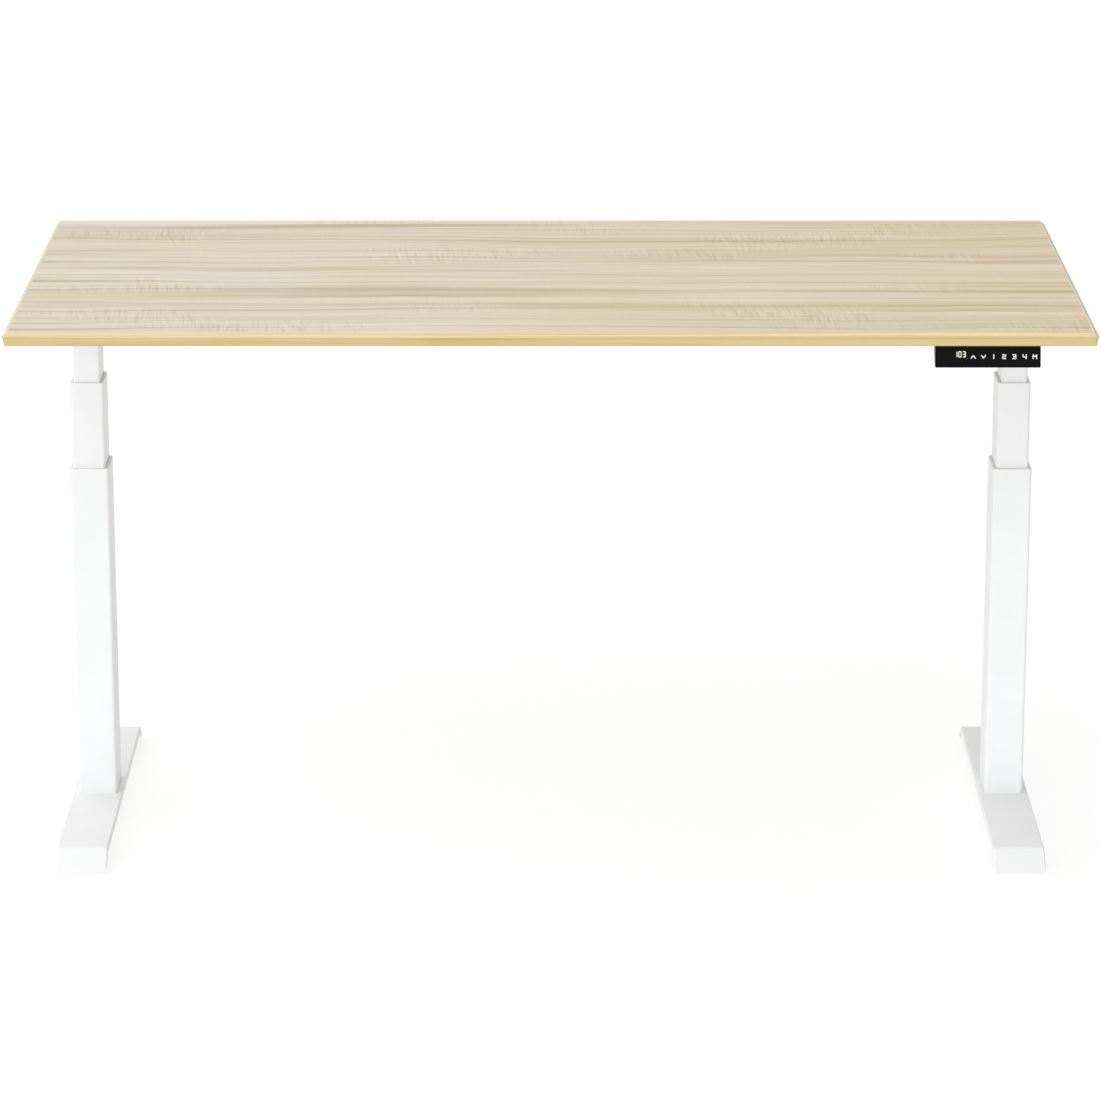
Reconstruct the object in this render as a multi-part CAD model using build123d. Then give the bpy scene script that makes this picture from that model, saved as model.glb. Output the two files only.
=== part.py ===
from build123d import *
from math import atan2, cos, degrees, pi, sin, tan
import os

# Height adjustable standing desk: a laminated worktop on two motor-driven legs, each a
# three-stage column on a folded steel foot. Millimetres, +Z up, front towards -Y.
# The origin is on the floor, under the middle of the worktop.

# ---- worktop
WORKTOP_LENGTH = 1600.0
WORKTOP_DEPTH = 800.0
CORE_THICKNESS = 18.0
LAMINATE_THICKNESS = 0.8
EDGING_WIDTH = 8.0          # solid strip round the core
EDGING_BEVEL = 6.0          # upper facet, as far down as it is out
EDGING_UNDERCUT = 3.0       # how far the lower facet leans in
CORNER_RADIUS = 7.0         # of the worktop in plan, at its widest line

# ---- heights of the worktop's surface
DESK_HEIGHT = 860.0         # as modelled
LOWEST_HEIGHT = 640.0
HIGHEST_HEIGHT = 1260.0

# ---- column stages, from the inner tube outwards
LEG_INSET = 85.0            # leg axis, in from the worktop's end
INNER_WIDTH = 41.0          # along X
INNER_DEPTH = 69.0          # along Y
TUBE_WALL = 1.5
TUBE_RADIUS = 4.5           # outside corner of every stage
GUIDE_GAP_X = 3.25          # between two stages, filled by collar and pads
GUIDE_GAP_Y = 2.5
RUNNING_CLEARANCE = 0.3     # every sliding or turning fit
STAGE_REVEAL = 26.0         # what each stage shows above the next one when the desk is lowest
COLLAR_CAP = 3.0
COLLAR_SKIRT = 30.0
COLLAR_ROUND = 0.9
PAD_LENGTH = 40.0
PAD_MARGIN = 3.0            # pad above the tube's lower end
PAD_WIDTH_SHARE = 0.55      # of the flat side that a pad covers

# ---- foot
FOOT_FLAT_LENGTH = 594.0
FOOT_WIDTH = 78.0
FOOT_HEIGHT = 30.0
FOOT_SHEET = 3.0
FOOT_FLANGE = 8.6           # folded side, over all
NOSE_RUN = 38.0             # sloping end, along Y
NOSE_CLEARANCE = 2.0        # nose above the floor
NOSE_CORNER = 7.0
FOOT_BEND = 6.0
FOOT_FOLD = 2.4
BASE_PLATE = 8.0            # welded in the outer tube's lower end
FOOT_BOLT_X = 19.0          # from the leg axis
FOOT_BOLT_Y = 30.0

# ---- levelling feet
LEVELLER_SETBACK = 27.0     # in from the bend of the foot
LEVELLER_PAD_RADIUS = 18.0
LEVELLER_PAD_HEIGHT = 6.0
LEVELLER_HEX = 17.0
LEVELLER_STUD_RADIUS = 4.0
LEVELLER_NUT_HEIGHT = 12.0
LEVELLER_NUT_HEX = 15.0

# ---- screw drive in each leg
BOTTOM_ROOM = 26.0          # middle tube above the foot when the desk is lowest
BASE_SCREW_RADIUS = 5.0
BASE_SCREW_FLANGE = 12.0
BASE_SCREW_FLANGE_HEIGHT = 4.0
BASE_SCREW_MARGIN = 100.0   # screw past the nut when the desk is highest
SCREW_TUBE_RADIUS = 11.0
SCREW_TUBE_BORE = 8.5
SCREW_TUBE_NUT = 30.0       # length of the thread in its lower end
SCREW_TUBE_FLANGE = 14.0
SCREW_TUBE_FLANGE_HEIGHT = 3.0
SCREW_TUBE_TOP_ROOM = 46.0  # below the middle stage's top
SCREW_TUBE_KEY = 12.0       # hexagon collar in its upper end
END_PLATE = 12.0
DRIVE_TUBE_FLATS = 13.8
DRIVE_TUBE_BORE = 5.75
DRIVE_TUBE_ROOM = 37.0      # above the screw tube's nut when the desk is lowest
SPINDLE_NUT_HEIGHT = 30.0

# ---- gearbox and motor
GEARBOX_HEIGHT = 25.9
GEARBOX_FLOOR = 4.7
GEARBOX_WALL = 2.4
WHEEL_HEIGHT = 12.0
WHEEL_TEETH = 24
WHEEL_TOOTH_DEPTH = 1.4
WHEEL_HUB_RADIUS = 10.0
WORM_RADIUS = 4.7
WORM_LENGTH = 20.0
WORM_PITCH = 4.0
WORM_GROOVE = 1.2
WORM_SHAFT_RADIUS = 3.0
MOTOR_RADIUS = 21.0
MOTOR_LENGTH = 96.0
MOTOR_CAP = 8.0
MOTOR_NECK_RADIUS = 10.0
STOP_CLEARANCE = 1.0        # left between stages when the desk is lowest

# ---- top frame
ARM_WIDTH = 70.0
ARM_SHEET = 2.5
ARM_FLANGE = 20.0
ARM_SETBACK = 100.0         # arm end, in from the worktop's edge
HEAD_PLATE = 5.0
HEAD_WIDTH = 62.0
HEAD_EDGE = 22.5            # head plate past the rail
RAIL_WIDTH = 25.0
RAIL_HEIGHT = 20.0
RAIL_WALL = 2.0
RAIL_GAP = 5.5              # motor to rail
SLEEVE_LENGTH = 800.0
SLEEVE_WALL = 2.0
SLEEVE_OVERLAP = 140.0

# ---- fasteners
BOLT_RADIUS = 3.0
BOLT_HEAD_RADIUS = 5.0
BOLT_HEAD_HEIGHT = 4.0
BOLT_SOCKET = 4.0
BOLT_SOCKET_DEPTH = 2.2
WOOD_SCREW_RADIUS = 2.5
WOOD_SCREW_BITE = 0.4       # thread into the pilot hole's wall
WOOD_SCREW_DEPTH = 12.0     # into the worktop
WOOD_SCREW_HEAD = 4.6
WOOD_SCREW_HEAD_HEIGHT = 2.6

# ---- control box
BOX_LENGTH = 260.0
BOX_DEPTH = 100.0
BOX_HEIGHT = 40.0
BOX_WALL = 2.0
BOX_CORNER = 5.0
BOX_GAP = 35.0              # behind the rear crossbar
BOX_EAR = 16.0
BOARD_SHEET = 1.6
BOARD_STANDOFF = 5.0
BOARD_MARGIN = 6.0
SOCKET_COUNT = 4
SOCKET_PITCH = 20.0
SOCKET_WIDTH = 12.0
SOCKET_HEIGHT = 9.0
SOCKET_DEPTH = 11.0
SOCKET_BLOCK_WALL = 2.0
SOCKETS_X = -70.0
INLET_X = 85.0
INLET_WIDTH = 27.0
INLET_HEIGHT = 20.0
INLET_WALL = 1.6
INLET_DEPTH = 20.0
INLET_FLANGE = 4.0
INLET_PIN_LENGTH = 12.0

# ---- handset
HANDSET_WIDTH = 154.0
HANDSET_HEIGHT = 33.0
HANDSET_INSET = 84.0        # from the worktop's right end
HANDSET_TOP_SETBACK = 12.0  # front face's top behind the worktop's widest line
HANDSET_LEAN = 8.0          # how much nearer the face's lower edge is
HANDSET_TOP_DEPTH = 33.0
HANDSET_LOW_DEPTH = 13.0
HANDSET_WALL = 2.0
HANDSET_END_BLOCK = 12.0
HANDSET_ROUND = 1.6
FASCIA_SHEET = 1.6
DISPLAY_X = 36.0            # centre, from the handset's left end
DISPLAY_WIDTH = 21.0
DISPLAY_HEIGHT = 15.0

# ---- places that follow from those sizes
WORKTOP_THICKNESS = CORE_THICKNESS + 2 * LAMINATE_THICKNESS
UNDERSIDE = DESK_HEIGHT - WORKTOP_THICKNESS
LEG_X = WORKTOP_LENGTH / 2 - LEG_INSET
LIFT = (DESK_HEIGHT - LOWEST_HEIGHT) / 2        # each stage's travel so far
STROKE = (HIGHEST_HEIGHT - LOWEST_HEIGHT) / 2   # each stage's whole travel

ARM_WEB_LOW = UNDERSIDE - ARM_SHEET
HEAD_LOW = ARM_WEB_LOW - HEAD_PLATE
HEAD_LOW_LOWEST = HEAD_LOW - 2 * LIFT
MIDDLE_TOP_LOWEST = HEAD_LOW_LOWEST - GEARBOX_HEIGHT - STOP_CLEARANCE
OUTER_TOP = MIDDLE_TOP_LOWEST - STAGE_REVEAL
MIDDLE_TOP = MIDDLE_TOP_LOWEST + LIFT
MIDDLE_LOW_LOWEST = FOOT_HEIGHT + BOTTOM_ROOM
MIDDLE_LOW = MIDDLE_LOW_LOWEST + LIFT
INNER_LOW = MIDDLE_LOW_LOWEST + STAGE_REVEAL + 2 * LIFT

STEP_X = 2 * (GUIDE_GAP_X + TUBE_WALL)
STEP_Y = 2 * (GUIDE_GAP_Y + TUBE_WALL)
INNER = (INNER_WIDTH, INNER_DEPTH)
MIDDLE = (INNER_WIDTH + STEP_X, INNER_DEPTH + STEP_Y)
OUTER = (MIDDLE[0] + STEP_X, MIDDLE[1] + STEP_Y)
BORE_RADIUS = TUBE_RADIUS - TUBE_WALL

GEARBOX_LOW = HEAD_LOW - GEARBOX_HEIGHT
HOUSING = (
    INNER[0] - 2 * (TUBE_WALL + RUNNING_CLEARANCE),
    INNER[1] - 2 * (TUBE_WALL + RUNNING_CLEARANCE),
)
WHEEL_RADIUS = HOUSING[0] / 2 - GEARBOX_WALL - RUNNING_CLEARANCE
WHEEL_LOW = GEARBOX_LOW + GEARBOX_FLOOR + RUNNING_CLEARANCE
WORM_Y = WHEEL_RADIUS + WORM_RADIUS + RUNNING_CLEARANCE
WORM_Z = WHEEL_LOW + WHEEL_HEIGHT / 2
MOTOR_FACE = LEG_X - ARM_WIDTH / 2 - STOP_CLEARANCE
RAIL_Y = WORM_Y + MOTOR_RADIUS + RAIL_GAP + RAIL_WIDTH / 2
RAIL_LOW = HEAD_LOW - RAIL_HEIGHT
RAIL_MIDDLE = HEAD_LOW - RAIL_HEIGHT / 2
RAIL_END = SLEEVE_LENGTH / 2 - SLEEVE_OVERLAP
SLEEVE_WIDTH = RAIL_WIDTH + 2 * (RUNNING_CLEARANCE + SLEEVE_WALL)
SLEEVE_HEIGHT = RAIL_HEIGHT + 2 * (RUNNING_CLEARANCE + SLEEVE_WALL)
HEAD_HALF_DEPTH = RAIL_Y + RAIL_WIDTH / 2 + HEAD_EDGE
HEAD_BOLT_Y = RAIL_Y + RAIL_WIDTH / 2 + HEAD_EDGE / 2
HEAD_BOLT_X = HEAD_WIDTH / 4
ARM_HALF_LENGTH = WORKTOP_DEPTH / 2 - ARM_SETBACK
ARM_SCREW_Y = ((HEAD_HALF_DEPTH + ARM_HALF_LENGTH) / 2 - 35, ARM_HALF_LENGTH - 25)
SLEEVE_SCREW_X = (SLEEVE_LENGTH / 2 - 30, SLEEVE_LENGTH / 2 - SLEEVE_OVERLAP + 30)

SCREW_TUBE_LOW = MIDDLE_LOW - RUNNING_CLEARANCE - SCREW_TUBE_FLANGE_HEIGHT
SCREW_TUBE_TOP = MIDDLE_TOP - SCREW_TUBE_TOP_ROOM
BASE_SCREW_LOW = FOOT_HEIGHT + BASE_PLATE
BASE_SCREW_TOP = SCREW_TUBE_LOW - LIFT + STROKE + SCREW_TUBE_NUT + BASE_SCREW_MARGIN
DRIVE_TUBE_LOW = SCREW_TUBE_LOW + SCREW_TUBE_NUT + DRIVE_TUBE_ROOM + LIFT
DRIVE_TUBE_TOP = WHEEL_LOW + WHEEL_HEIGHT * 2 / 3

LEVELLER_Y = FOOT_FLAT_LENGTH / 2 - LEVELLER_SETBACK
LEVELLER_NUT_LOW = FOOT_HEIGHT - FOOT_SHEET - LEVELLER_NUT_HEIGHT
LEVELLER_SHOULDER = LEVELLER_NUT_LOW - RUNNING_CLEARANCE
LEVELLER_TOP = FOOT_HEIGHT - FOOT_SHEET - 0.5

BOX_FRONT = RAIL_Y + SLEEVE_WIDTH / 2 + BOX_GAP
BOX_REAR = BOX_FRONT + BOX_DEPTH
BOX_LOW = UNDERSIDE - BOX_HEIGHT
BOX_MIDDLE_Y = (BOX_FRONT + BOX_REAR) / 2
BOX_SCREW_X = BOX_LENGTH / 2 + BOX_EAR / 2
BOX_SCREW_Y = BOX_DEPTH / 2 - 15
SOCKETS_Z = BOX_LOW + BOX_HEIGHT / 2
BOARD_LOW = BOX_LOW + BOX_WALL + BOARD_STANDOFF

HANDSET_RIGHT = WORKTOP_LENGTH / 2 - HANDSET_INSET
HANDSET_LEFT = HANDSET_RIGHT - HANDSET_WIDTH
HANDSET_LOW = UNDERSIDE - HANDSET_HEIGHT
HANDSET_FACE_TOP = -WORKTOP_DEPTH / 2 + HANDSET_TOP_SETBACK
HANDSET_FACE_LOW = HANDSET_FACE_TOP - HANDSET_LEAN
HANDSET_TILT = atan2(HANDSET_LEAN, HANDSET_HEIGHT)
HANDSET_SCREW_Y = HANDSET_FACE_TOP + HANDSET_TOP_DEPTH / 2


# ---------------------------------------------------------------- small helpers
def block(x, y, z):
    """A box between two corners on each axis."""
    size = (x[1] - x[0], y[1] - y[0], z[1] - z[0])
    middle = Pos((x[0] + x[1]) / 2, (y[0] + y[1]) / 2, (z[0] + z[1]) / 2)
    return middle * Box(*size)


def post(x, y, z, radius):
    """An upright cylinder from z[0] to z[1]."""
    return Pos(x, y, z[0]) * extrude(Circle(radius), z[1] - z[0])


def upright(section, x, y, z):
    """A section extruded from z[0] to z[1] round the axis at x, y."""
    return Pos(x, y, z[0]) * extrude(section, z[1] - z[0])


def along_x(x, y, z, radius):
    """A cylinder lying along X, from x[0] to x[1]."""
    return Pos(x[0], y, z) * Rot(0, 90, 0) * extrude(Circle(radius), x[1] - x[0])


def hexagon(across_flats):
    return RegularPolygon(across_flats / 2, 6, major_radius=False)


def ring(outside, outside_radius, inside, inside_radius):
    """A rounded rectangle with a rounded rectangular hole."""
    hole = RectangleRounded(*inside, inside_radius)
    return RectangleRounded(*outside, outside_radius) - hole


def shrink(section, by):
    """Width and depth with the same amount off every side."""
    return (section[0] - 2 * by, section[1] - 2 * by)


def bore_of(section):
    return shrink(section, TUBE_WALL)


def leveller_places():
    return [(x, y) for x in (-LEG_X, LEG_X) for y in (-LEVELLER_Y, LEVELLER_Y)]


# ---------------------------------------------------------------- worktop
def worktop_blank():
    """The worktop's whole outer shape: it widens to the arris, then bevels to the top."""
    low_height = WORKTOP_THICKNESS - EDGING_BEVEL
    widest = RectangleRounded(WORKTOP_LENGTH, WORKTOP_DEPTH, CORNER_RADIUS)
    lean = degrees(atan2(EDGING_UNDERCUT, low_height))
    arris = Pos(0, 0, UNDERSIDE + low_height)
    upper = extrude(arris * widest, EDGING_BEVEL, taper=45)
    lower = extrude(arris * widest, -low_height, taper=lean)
    return upper + lower


def edging_strips():
    """Four mitred strips: front, rear, left and right."""
    x_in = WORKTOP_LENGTH / 2 - EDGING_WIDTH
    y_in = WORKTOP_DEPTH / 2 - EDGING_WIDTH
    reach = 2 * EDGING_WIDTH
    z = (UNDERSIDE - 1, DESK_HEIGHT + 1)
    blank = worktop_blank() - block((-x_in, x_in), (-y_in, y_in), z)
    strips = []
    for side in (-1, 1):
        long_wedge = Polygon(
            (-x_in, side * y_in),
            (x_in, side * y_in),
            (x_in + reach, side * (y_in + reach)),
            (-x_in - reach, side * (y_in + reach)),
            align=None,
        )
        short_wedge = Polygon(
            (side * x_in, -y_in),
            (side * x_in, y_in),
            (side * (x_in + reach), y_in + reach),
            (side * (x_in + reach), -y_in - reach),
            align=None,
        )
        for wedge in (long_wedge, short_wedge):
            strips.append(blank & upright(make_face(wedge.wire()), 0, 0, z))
    return strips


def worktop_screw_places():
    """X, Y and the height under which each screw's head sits."""
    places = []
    for side in (-1, 1):
        for y in ARM_SCREW_Y:
            places.append((side * LEG_X, -y, ARM_WEB_LOW))
            places.append((side * LEG_X, y, ARM_WEB_LOW))
        for y in (-BOX_SCREW_Y, BOX_SCREW_Y):
            places.append((side * BOX_SCREW_X, BOX_MIDDLE_Y + y, UNDERSIDE - BOX_WALL))
    for x in (HANDSET_LEFT + HANDSET_END_BLOCK / 2, HANDSET_RIGHT - HANDSET_END_BLOCK / 2):
        places.append((x, HANDSET_SCREW_Y, UNDERSIDE - HANDSET_HEIGHT / 3))
    return places


def worktop_screw(x, y, seat):
    head = post(x, y, (seat - WOOD_SCREW_HEAD_HEIGHT, seat), WOOD_SCREW_HEAD)
    slot = upright(hexagon(BOLT_SOCKET), x, y, (seat - WOOD_SCREW_HEAD_HEIGHT, seat - 1))
    shank = post(x, y, (seat, UNDERSIDE + WOOD_SCREW_DEPTH), WOOD_SCREW_RADIUS)
    return head - slot + shank


def worktop_panel(z):
    """A layer inside the edging, with the pilot holes that reach into it."""
    x = WORKTOP_LENGTH / 2 - EDGING_WIDTH
    y = WORKTOP_DEPTH / 2 - EDGING_WIDTH
    panel = block((-x, x), (-y, y), z)
    for place in worktop_screw_places():
        hole_top = UNDERSIDE + WOOD_SCREW_DEPTH
        if z[0] < hole_top:
            hole = (UNDERSIDE, hole_top)
            panel -= post(place[0], place[1], hole, WOOD_SCREW_RADIUS - WOOD_SCREW_BITE)
    return panel


def worktop_nodes():
    core = (UNDERSIDE + LAMINATE_THICKNESS, DESK_HEIGHT - LAMINATE_THICKNESS)
    return {
        "worktop_backer": worktop_panel((UNDERSIDE, core[0])),
        "worktop_core": worktop_panel(core),
        "worktop_laminate": worktop_panel((core[1], DESK_HEIGHT)),
        "worktop_edging": edging_strips(),
        "worktop_screws": [worktop_screw(*place) for place in worktop_screw_places()],
    }


# ---------------------------------------------------------------- feet, right-hand side
def foot_band(depth, width):
    """The foot's side outline, from its top down to a depth, clipped at the nose's lower edge."""
    drop = FOOT_HEIGHT - NOSE_CLEARANCE
    slope = atan2(drop, NOSE_RUN)
    bend = FOOT_FLAT_LENGTH / 2
    tip = bend + NOSE_RUN
    inner_bend = bend - depth * tan(slope / 2)
    inner_tip = tip - depth / sin(slope)
    outline = Polyline(
        (-tip, NOSE_CLEARANCE),
        (-bend, FOOT_HEIGHT),
        (bend, FOOT_HEIGHT),
        (tip, NOSE_CLEARANCE),
        (inner_tip, NOSE_CLEARANCE),
        (inner_bend, FOOT_HEIGHT - depth),
        (-inner_bend, FOOT_HEIGHT - depth),
        (-inner_tip, NOSE_CLEARANCE),
        close=True,
    )
    section = Plane.YZ * make_face(outline)
    return Pos(LEG_X, 0, 0) * extrude(section, width / 2, both=True)


def foot_bolt_places(x):
    return [(x + i * FOOT_BOLT_X, j * FOOT_BOLT_Y) for i in (-1, 1) for j in (-1, 1)]


def foot():
    """A folded sheet: flat top, low side flanges and both ends bent down to the floor."""
    body = foot_band(FOOT_FLANGE, FOOT_WIDTH)
    bend = FOOT_FLAT_LENGTH / 2
    top_bends = [
        edge
        for edge in body.edges().filter_by(Axis.X)
        if abs(edge.center().Z - FOOT_HEIGHT) < 0.01 and abs(abs(edge.center().Y) - bend) < 0.01
    ]
    body = fillet(top_bends, FOOT_BEND)
    side_faces = body.faces().filter_by(Axis.X)
    top_faces = [f for f in body.faces() if f.normal_at().Z > 0.3 and f not in side_faces]
    rims = [
        edge
        for face in top_faces
        for edge in face.edges()
        if abs(abs(edge.center().X - LEG_X) - FOOT_WIDTH / 2) < 0.01
    ]
    body = fillet(rims, FOOT_FOLD)
    inside = foot_band(FOOT_FLANGE + 20, FOOT_WIDTH - 2 * FOOT_SHEET)
    skin = foot_band(FOOT_SHEET, FOOT_WIDTH)
    body -= inside - skin
    front_view = RectangleRounded(FOOT_WIDTH, 2 * FOOT_HEIGHT, NOSE_CORNER)
    front_view = Plane.XZ * Pos(LEG_X, NOSE_CLEARANCE + FOOT_HEIGHT) * front_view
    body &= extrude(front_view, bend + NOSE_RUN + 1, both=True)
    for place in foot_bolt_places(LEG_X):
        hole = (0, FOOT_HEIGHT + 1)
        body -= post(*place, hole, BOLT_RADIUS + RUNNING_CLEARANCE)
    return body


def bolt(x, y, seat, length):
    """A socket-head bolt whose head hangs under its seat."""
    low = seat - BOLT_HEAD_HEIGHT
    head = post(x, y, (low, seat), BOLT_HEAD_RADIUS)
    socket = upright(hexagon(BOLT_SOCKET), x, y, (low, low + BOLT_SOCKET_DEPTH))
    return head - socket + post(x, y, (seat, seat + length), BOLT_RADIUS)


def foot_bolts():
    seat = FOOT_HEIGHT - FOOT_SHEET
    length = FOOT_SHEET + BASE_PLATE - 1
    places = foot_bolt_places(-LEG_X) + foot_bolt_places(LEG_X)
    return [bolt(*place, seat, length) for place in places]


def leveller(x, y):
    """A moulded pad with a hexagon for the spanner and a threaded stud."""
    pad = post(x, y, (0, LEVELLER_PAD_HEIGHT), LEVELLER_PAD_RADIUS)
    pad = fillet(pad.edges().group_by(Axis.Z)[-1], LEVELLER_PAD_HEIGHT / 3)
    body = upright(hexagon(LEVELLER_HEX), x, y, (LEVELLER_PAD_HEIGHT, LEVELLER_SHOULDER))
    stud = post(x, y, (LEVELLER_SHOULDER, LEVELLER_TOP), LEVELLER_STUD_RADIUS)
    return pad + body + stud


def leveller_nut(x, y):
    """A hexagon nut welded under the foot's top."""
    z = (LEVELLER_NUT_LOW, FOOT_HEIGHT - FOOT_SHEET)
    return upright(hexagon(LEVELLER_NUT_HEX), x, y, z) - post(
        x, y, z, LEVELLER_STUD_RADIUS + RUNNING_CLEARANCE
    )


# ---------------------------------------------------------------- column stages, right-hand side
def tube(section, z):
    profile = ring(section, TUBE_RADIUS, bore_of(section), BORE_RADIUS)
    return upright(profile, LEG_X, 0, z)


def outer_column():
    """Outer tube with its base plate welded in."""
    column = tube(OUTER, (FOOT_HEIGHT, OUTER_TOP - COLLAR_CAP))
    plate = upright(
        RectangleRounded(*bore_of(OUTER), BORE_RADIUS), LEG_X, 0, (FOOT_HEIGHT, FOOT_HEIGHT + BASE_PLATE)
    )
    for place in foot_bolt_places(LEG_X):
        plate -= post(*place, (FOOT_HEIGHT, FOOT_HEIGHT + BASE_PLATE), BOLT_RADIUS)
    return column + plate


def collar(section, passing, top):
    """A moulded ring on a tube's end, with a skirt that guides the next stage."""
    hole = shrink(passing, -RUNNING_CLEARANCE)
    hole_radius = TUBE_RADIUS + RUNNING_CLEARANCE
    cap = upright(RectangleRounded(*section, TUBE_RADIUS), LEG_X, 0, (top - COLLAR_CAP, top))
    cap = fillet(cap.edges().group_by(Axis.Z)[-1], COLLAR_ROUND)
    skirt = upright(
        RectangleRounded(*bore_of(section), BORE_RADIUS),
        LEG_X,
        0,
        (top - COLLAR_CAP - COLLAR_SKIRT, top - COLLAR_CAP),
    )
    opening = upright(
        RectangleRounded(*hole, hole_radius), LEG_X, 0, (top - COLLAR_CAP - COLLAR_SKIRT, top)
    )
    return cap + skirt - opening


def guide_pads(section, low):
    """Four slide pads on the outside of a stage's lower end."""
    z = (low + PAD_MARGIN, low + PAD_MARGIN + PAD_LENGTH)
    thick_x = GUIDE_GAP_X - RUNNING_CLEARANCE
    thick_y = GUIDE_GAP_Y - RUNNING_CLEARANCE
    half_x = section[0] / 2
    half_y = section[1] / 2
    across_x = section[0] * PAD_WIDTH_SHARE / 2
    across_y = section[1] * PAD_WIDTH_SHARE / 2
    pads = []
    for side in (-1, 1):
        x = sorted((LEG_X + side * half_x, LEG_X + side * (half_x + thick_x)))
        y = sorted((side * half_y, side * (half_y + thick_y)))
        pads.append(block(x, (-across_y, across_y), z))
        pads.append(block((LEG_X - across_x, LEG_X + across_x), y, z))
    return pads


def middle_end_plate():
    z = (MIDDLE_LOW, MIDDLE_LOW + END_PLATE)
    plate = upright(RectangleRounded(*bore_of(MIDDLE), BORE_RADIUS), LEG_X, 0, z)
    return plate - post(LEG_X, 0, z, SCREW_TUBE_RADIUS + RUNNING_CLEARANCE)


def inner_column():
    """Inner tube, with a window for the motor's neck."""
    column = tube(INNER, (INNER_LOW, HEAD_LOW))
    window = (LEG_X - INNER[0] / 2 - 1, LEG_X)
    return column - along_x(window, WORM_Y, WORM_Z, MOTOR_NECK_RADIUS + RUNNING_CLEARANCE)


# ---------------------------------------------------------------- screw drive, right-hand side
def base_screw():
    flange = post(
        LEG_X, 0, (BASE_SCREW_LOW, BASE_SCREW_LOW + BASE_SCREW_FLANGE_HEIGHT), BASE_SCREW_FLANGE
    )
    return flange + post(LEG_X, 0, (BASE_SCREW_LOW, BASE_SCREW_TOP), BASE_SCREW_RADIUS)


def screw_tube():
    """Hollow screw: a nut in its lower end, a thread outside, a hexagon collar on top."""
    body = post(LEG_X, 0, (SCREW_TUBE_LOW, SCREW_TUBE_TOP), SCREW_TUBE_RADIUS)
    upper_flange = MIDDLE_LOW + END_PLATE + RUNNING_CLEARANCE
    for low in (SCREW_TUBE_LOW, upper_flange):
        body += post(LEG_X, 0, (low, low + SCREW_TUBE_FLANGE_HEIGHT), SCREW_TUBE_FLANGE)
    body -= post(
        LEG_X, 0, (SCREW_TUBE_LOW, SCREW_TUBE_TOP), BASE_SCREW_RADIUS + RUNNING_CLEARANCE
    )
    hollow = (SCREW_TUBE_LOW + SCREW_TUBE_NUT, SCREW_TUBE_TOP - SCREW_TUBE_KEY)
    body -= post(LEG_X, 0, hollow, SCREW_TUBE_BORE)
    key = (SCREW_TUBE_TOP - SCREW_TUBE_KEY, SCREW_TUBE_TOP)
    body -= upright(hexagon(DRIVE_TUBE_FLATS + 2 * RUNNING_CLEARANCE), LEG_X, 0, key)
    return body


def drive_tube():
    z = (DRIVE_TUBE_LOW, DRIVE_TUBE_TOP)
    return upright(hexagon(DRIVE_TUBE_FLATS), LEG_X, 0, z) - post(LEG_X, 0, z, DRIVE_TUBE_BORE)


def spindle_nut():
    """Fills the inner tube's lower end and rides on the screw tube's thread."""
    z = (INNER_LOW, INNER_LOW + SPINDLE_NUT_HEIGHT)
    body = upright(RectangleRounded(*bore_of(INNER), BORE_RADIUS), LEG_X, 0, z)
    return body - post(LEG_X, 0, z, SCREW_TUBE_RADIUS + RUNNING_CLEARANCE)


def worm_wheel():
    body = post(LEG_X, 0, (WHEEL_LOW, WHEEL_LOW + WHEEL_HEIGHT), WHEEL_RADIUS)
    pitch = 2 * pi * WHEEL_RADIUS / WHEEL_TEETH
    groove = block(
        (WHEEL_RADIUS - WHEEL_TOOTH_DEPTH, WHEEL_RADIUS + 1),
        (-pitch / 4, pitch / 4),
        (WHEEL_LOW, WHEEL_LOW + WHEEL_HEIGHT),
    )
    for tooth in range(WHEEL_TEETH):
        body -= Pos(LEG_X, 0, 0) * Rot(0, 0, tooth * 360 / WHEEL_TEETH) * groove
    body += post(LEG_X, 0, (WHEEL_LOW, HEAD_LOW - RUNNING_CLEARANCE), WHEEL_HUB_RADIUS)
    return body - upright(hexagon(DRIVE_TUBE_FLATS), LEG_X, 0, (WHEEL_LOW, DRIVE_TUBE_TOP))


def gearbox_housing():
    """A block in the inner tube's top: the wheel drops in from above, the worm from the side."""
    body = upright(RectangleRounded(*HOUSING, BORE_RADIUS), LEG_X, 0, (GEARBOX_LOW, HEAD_LOW))
    wheel_floor = GEARBOX_LOW + GEARBOX_FLOOR
    body -= post(LEG_X, 0, (wheel_floor, HEAD_LOW), WHEEL_RADIUS + RUNNING_CLEARANCE)
    hole = DRIVE_TUBE_FLATS / (2 * cos(pi / 6)) + RUNNING_CLEARANCE
    body -= post(LEG_X, 0, (GEARBOX_LOW, wheel_floor), hole)
    worm_room = (LEG_X - HOUSING[0] / 2, LEG_X + WORM_LENGTH / 2 + RUNNING_CLEARANCE)
    return body - along_x(worm_room, WORM_Y, WORM_Z, WORM_RADIUS + RUNNING_CLEARANCE)


def worm_shaft():
    end = MOTOR_FACE - MOTOR_LENGTH / 2
    shaft = along_x((end, LEG_X - WORM_LENGTH / 2), WORM_Y, WORM_Z, WORM_SHAFT_RADIUS)
    worm = along_x((LEG_X - WORM_LENGTH / 2, LEG_X + WORM_LENGTH / 2), WORM_Y, WORM_Z, WORM_RADIUS)
    turns = int(WORM_LENGTH / WORM_PITCH)
    for turn in range(turns):
        start = LEG_X - WORM_LENGTH / 2 + (turn + 0.25) * WORM_PITCH
        span = (start, start + WORM_PITCH / 2)
        band = along_x(span, WORM_Y, WORM_Z, WORM_RADIUS + 1)
        worm -= band - along_x(span, WORM_Y, WORM_Z, WORM_RADIUS - WORM_GROOVE)
    return shaft + worm


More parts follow.
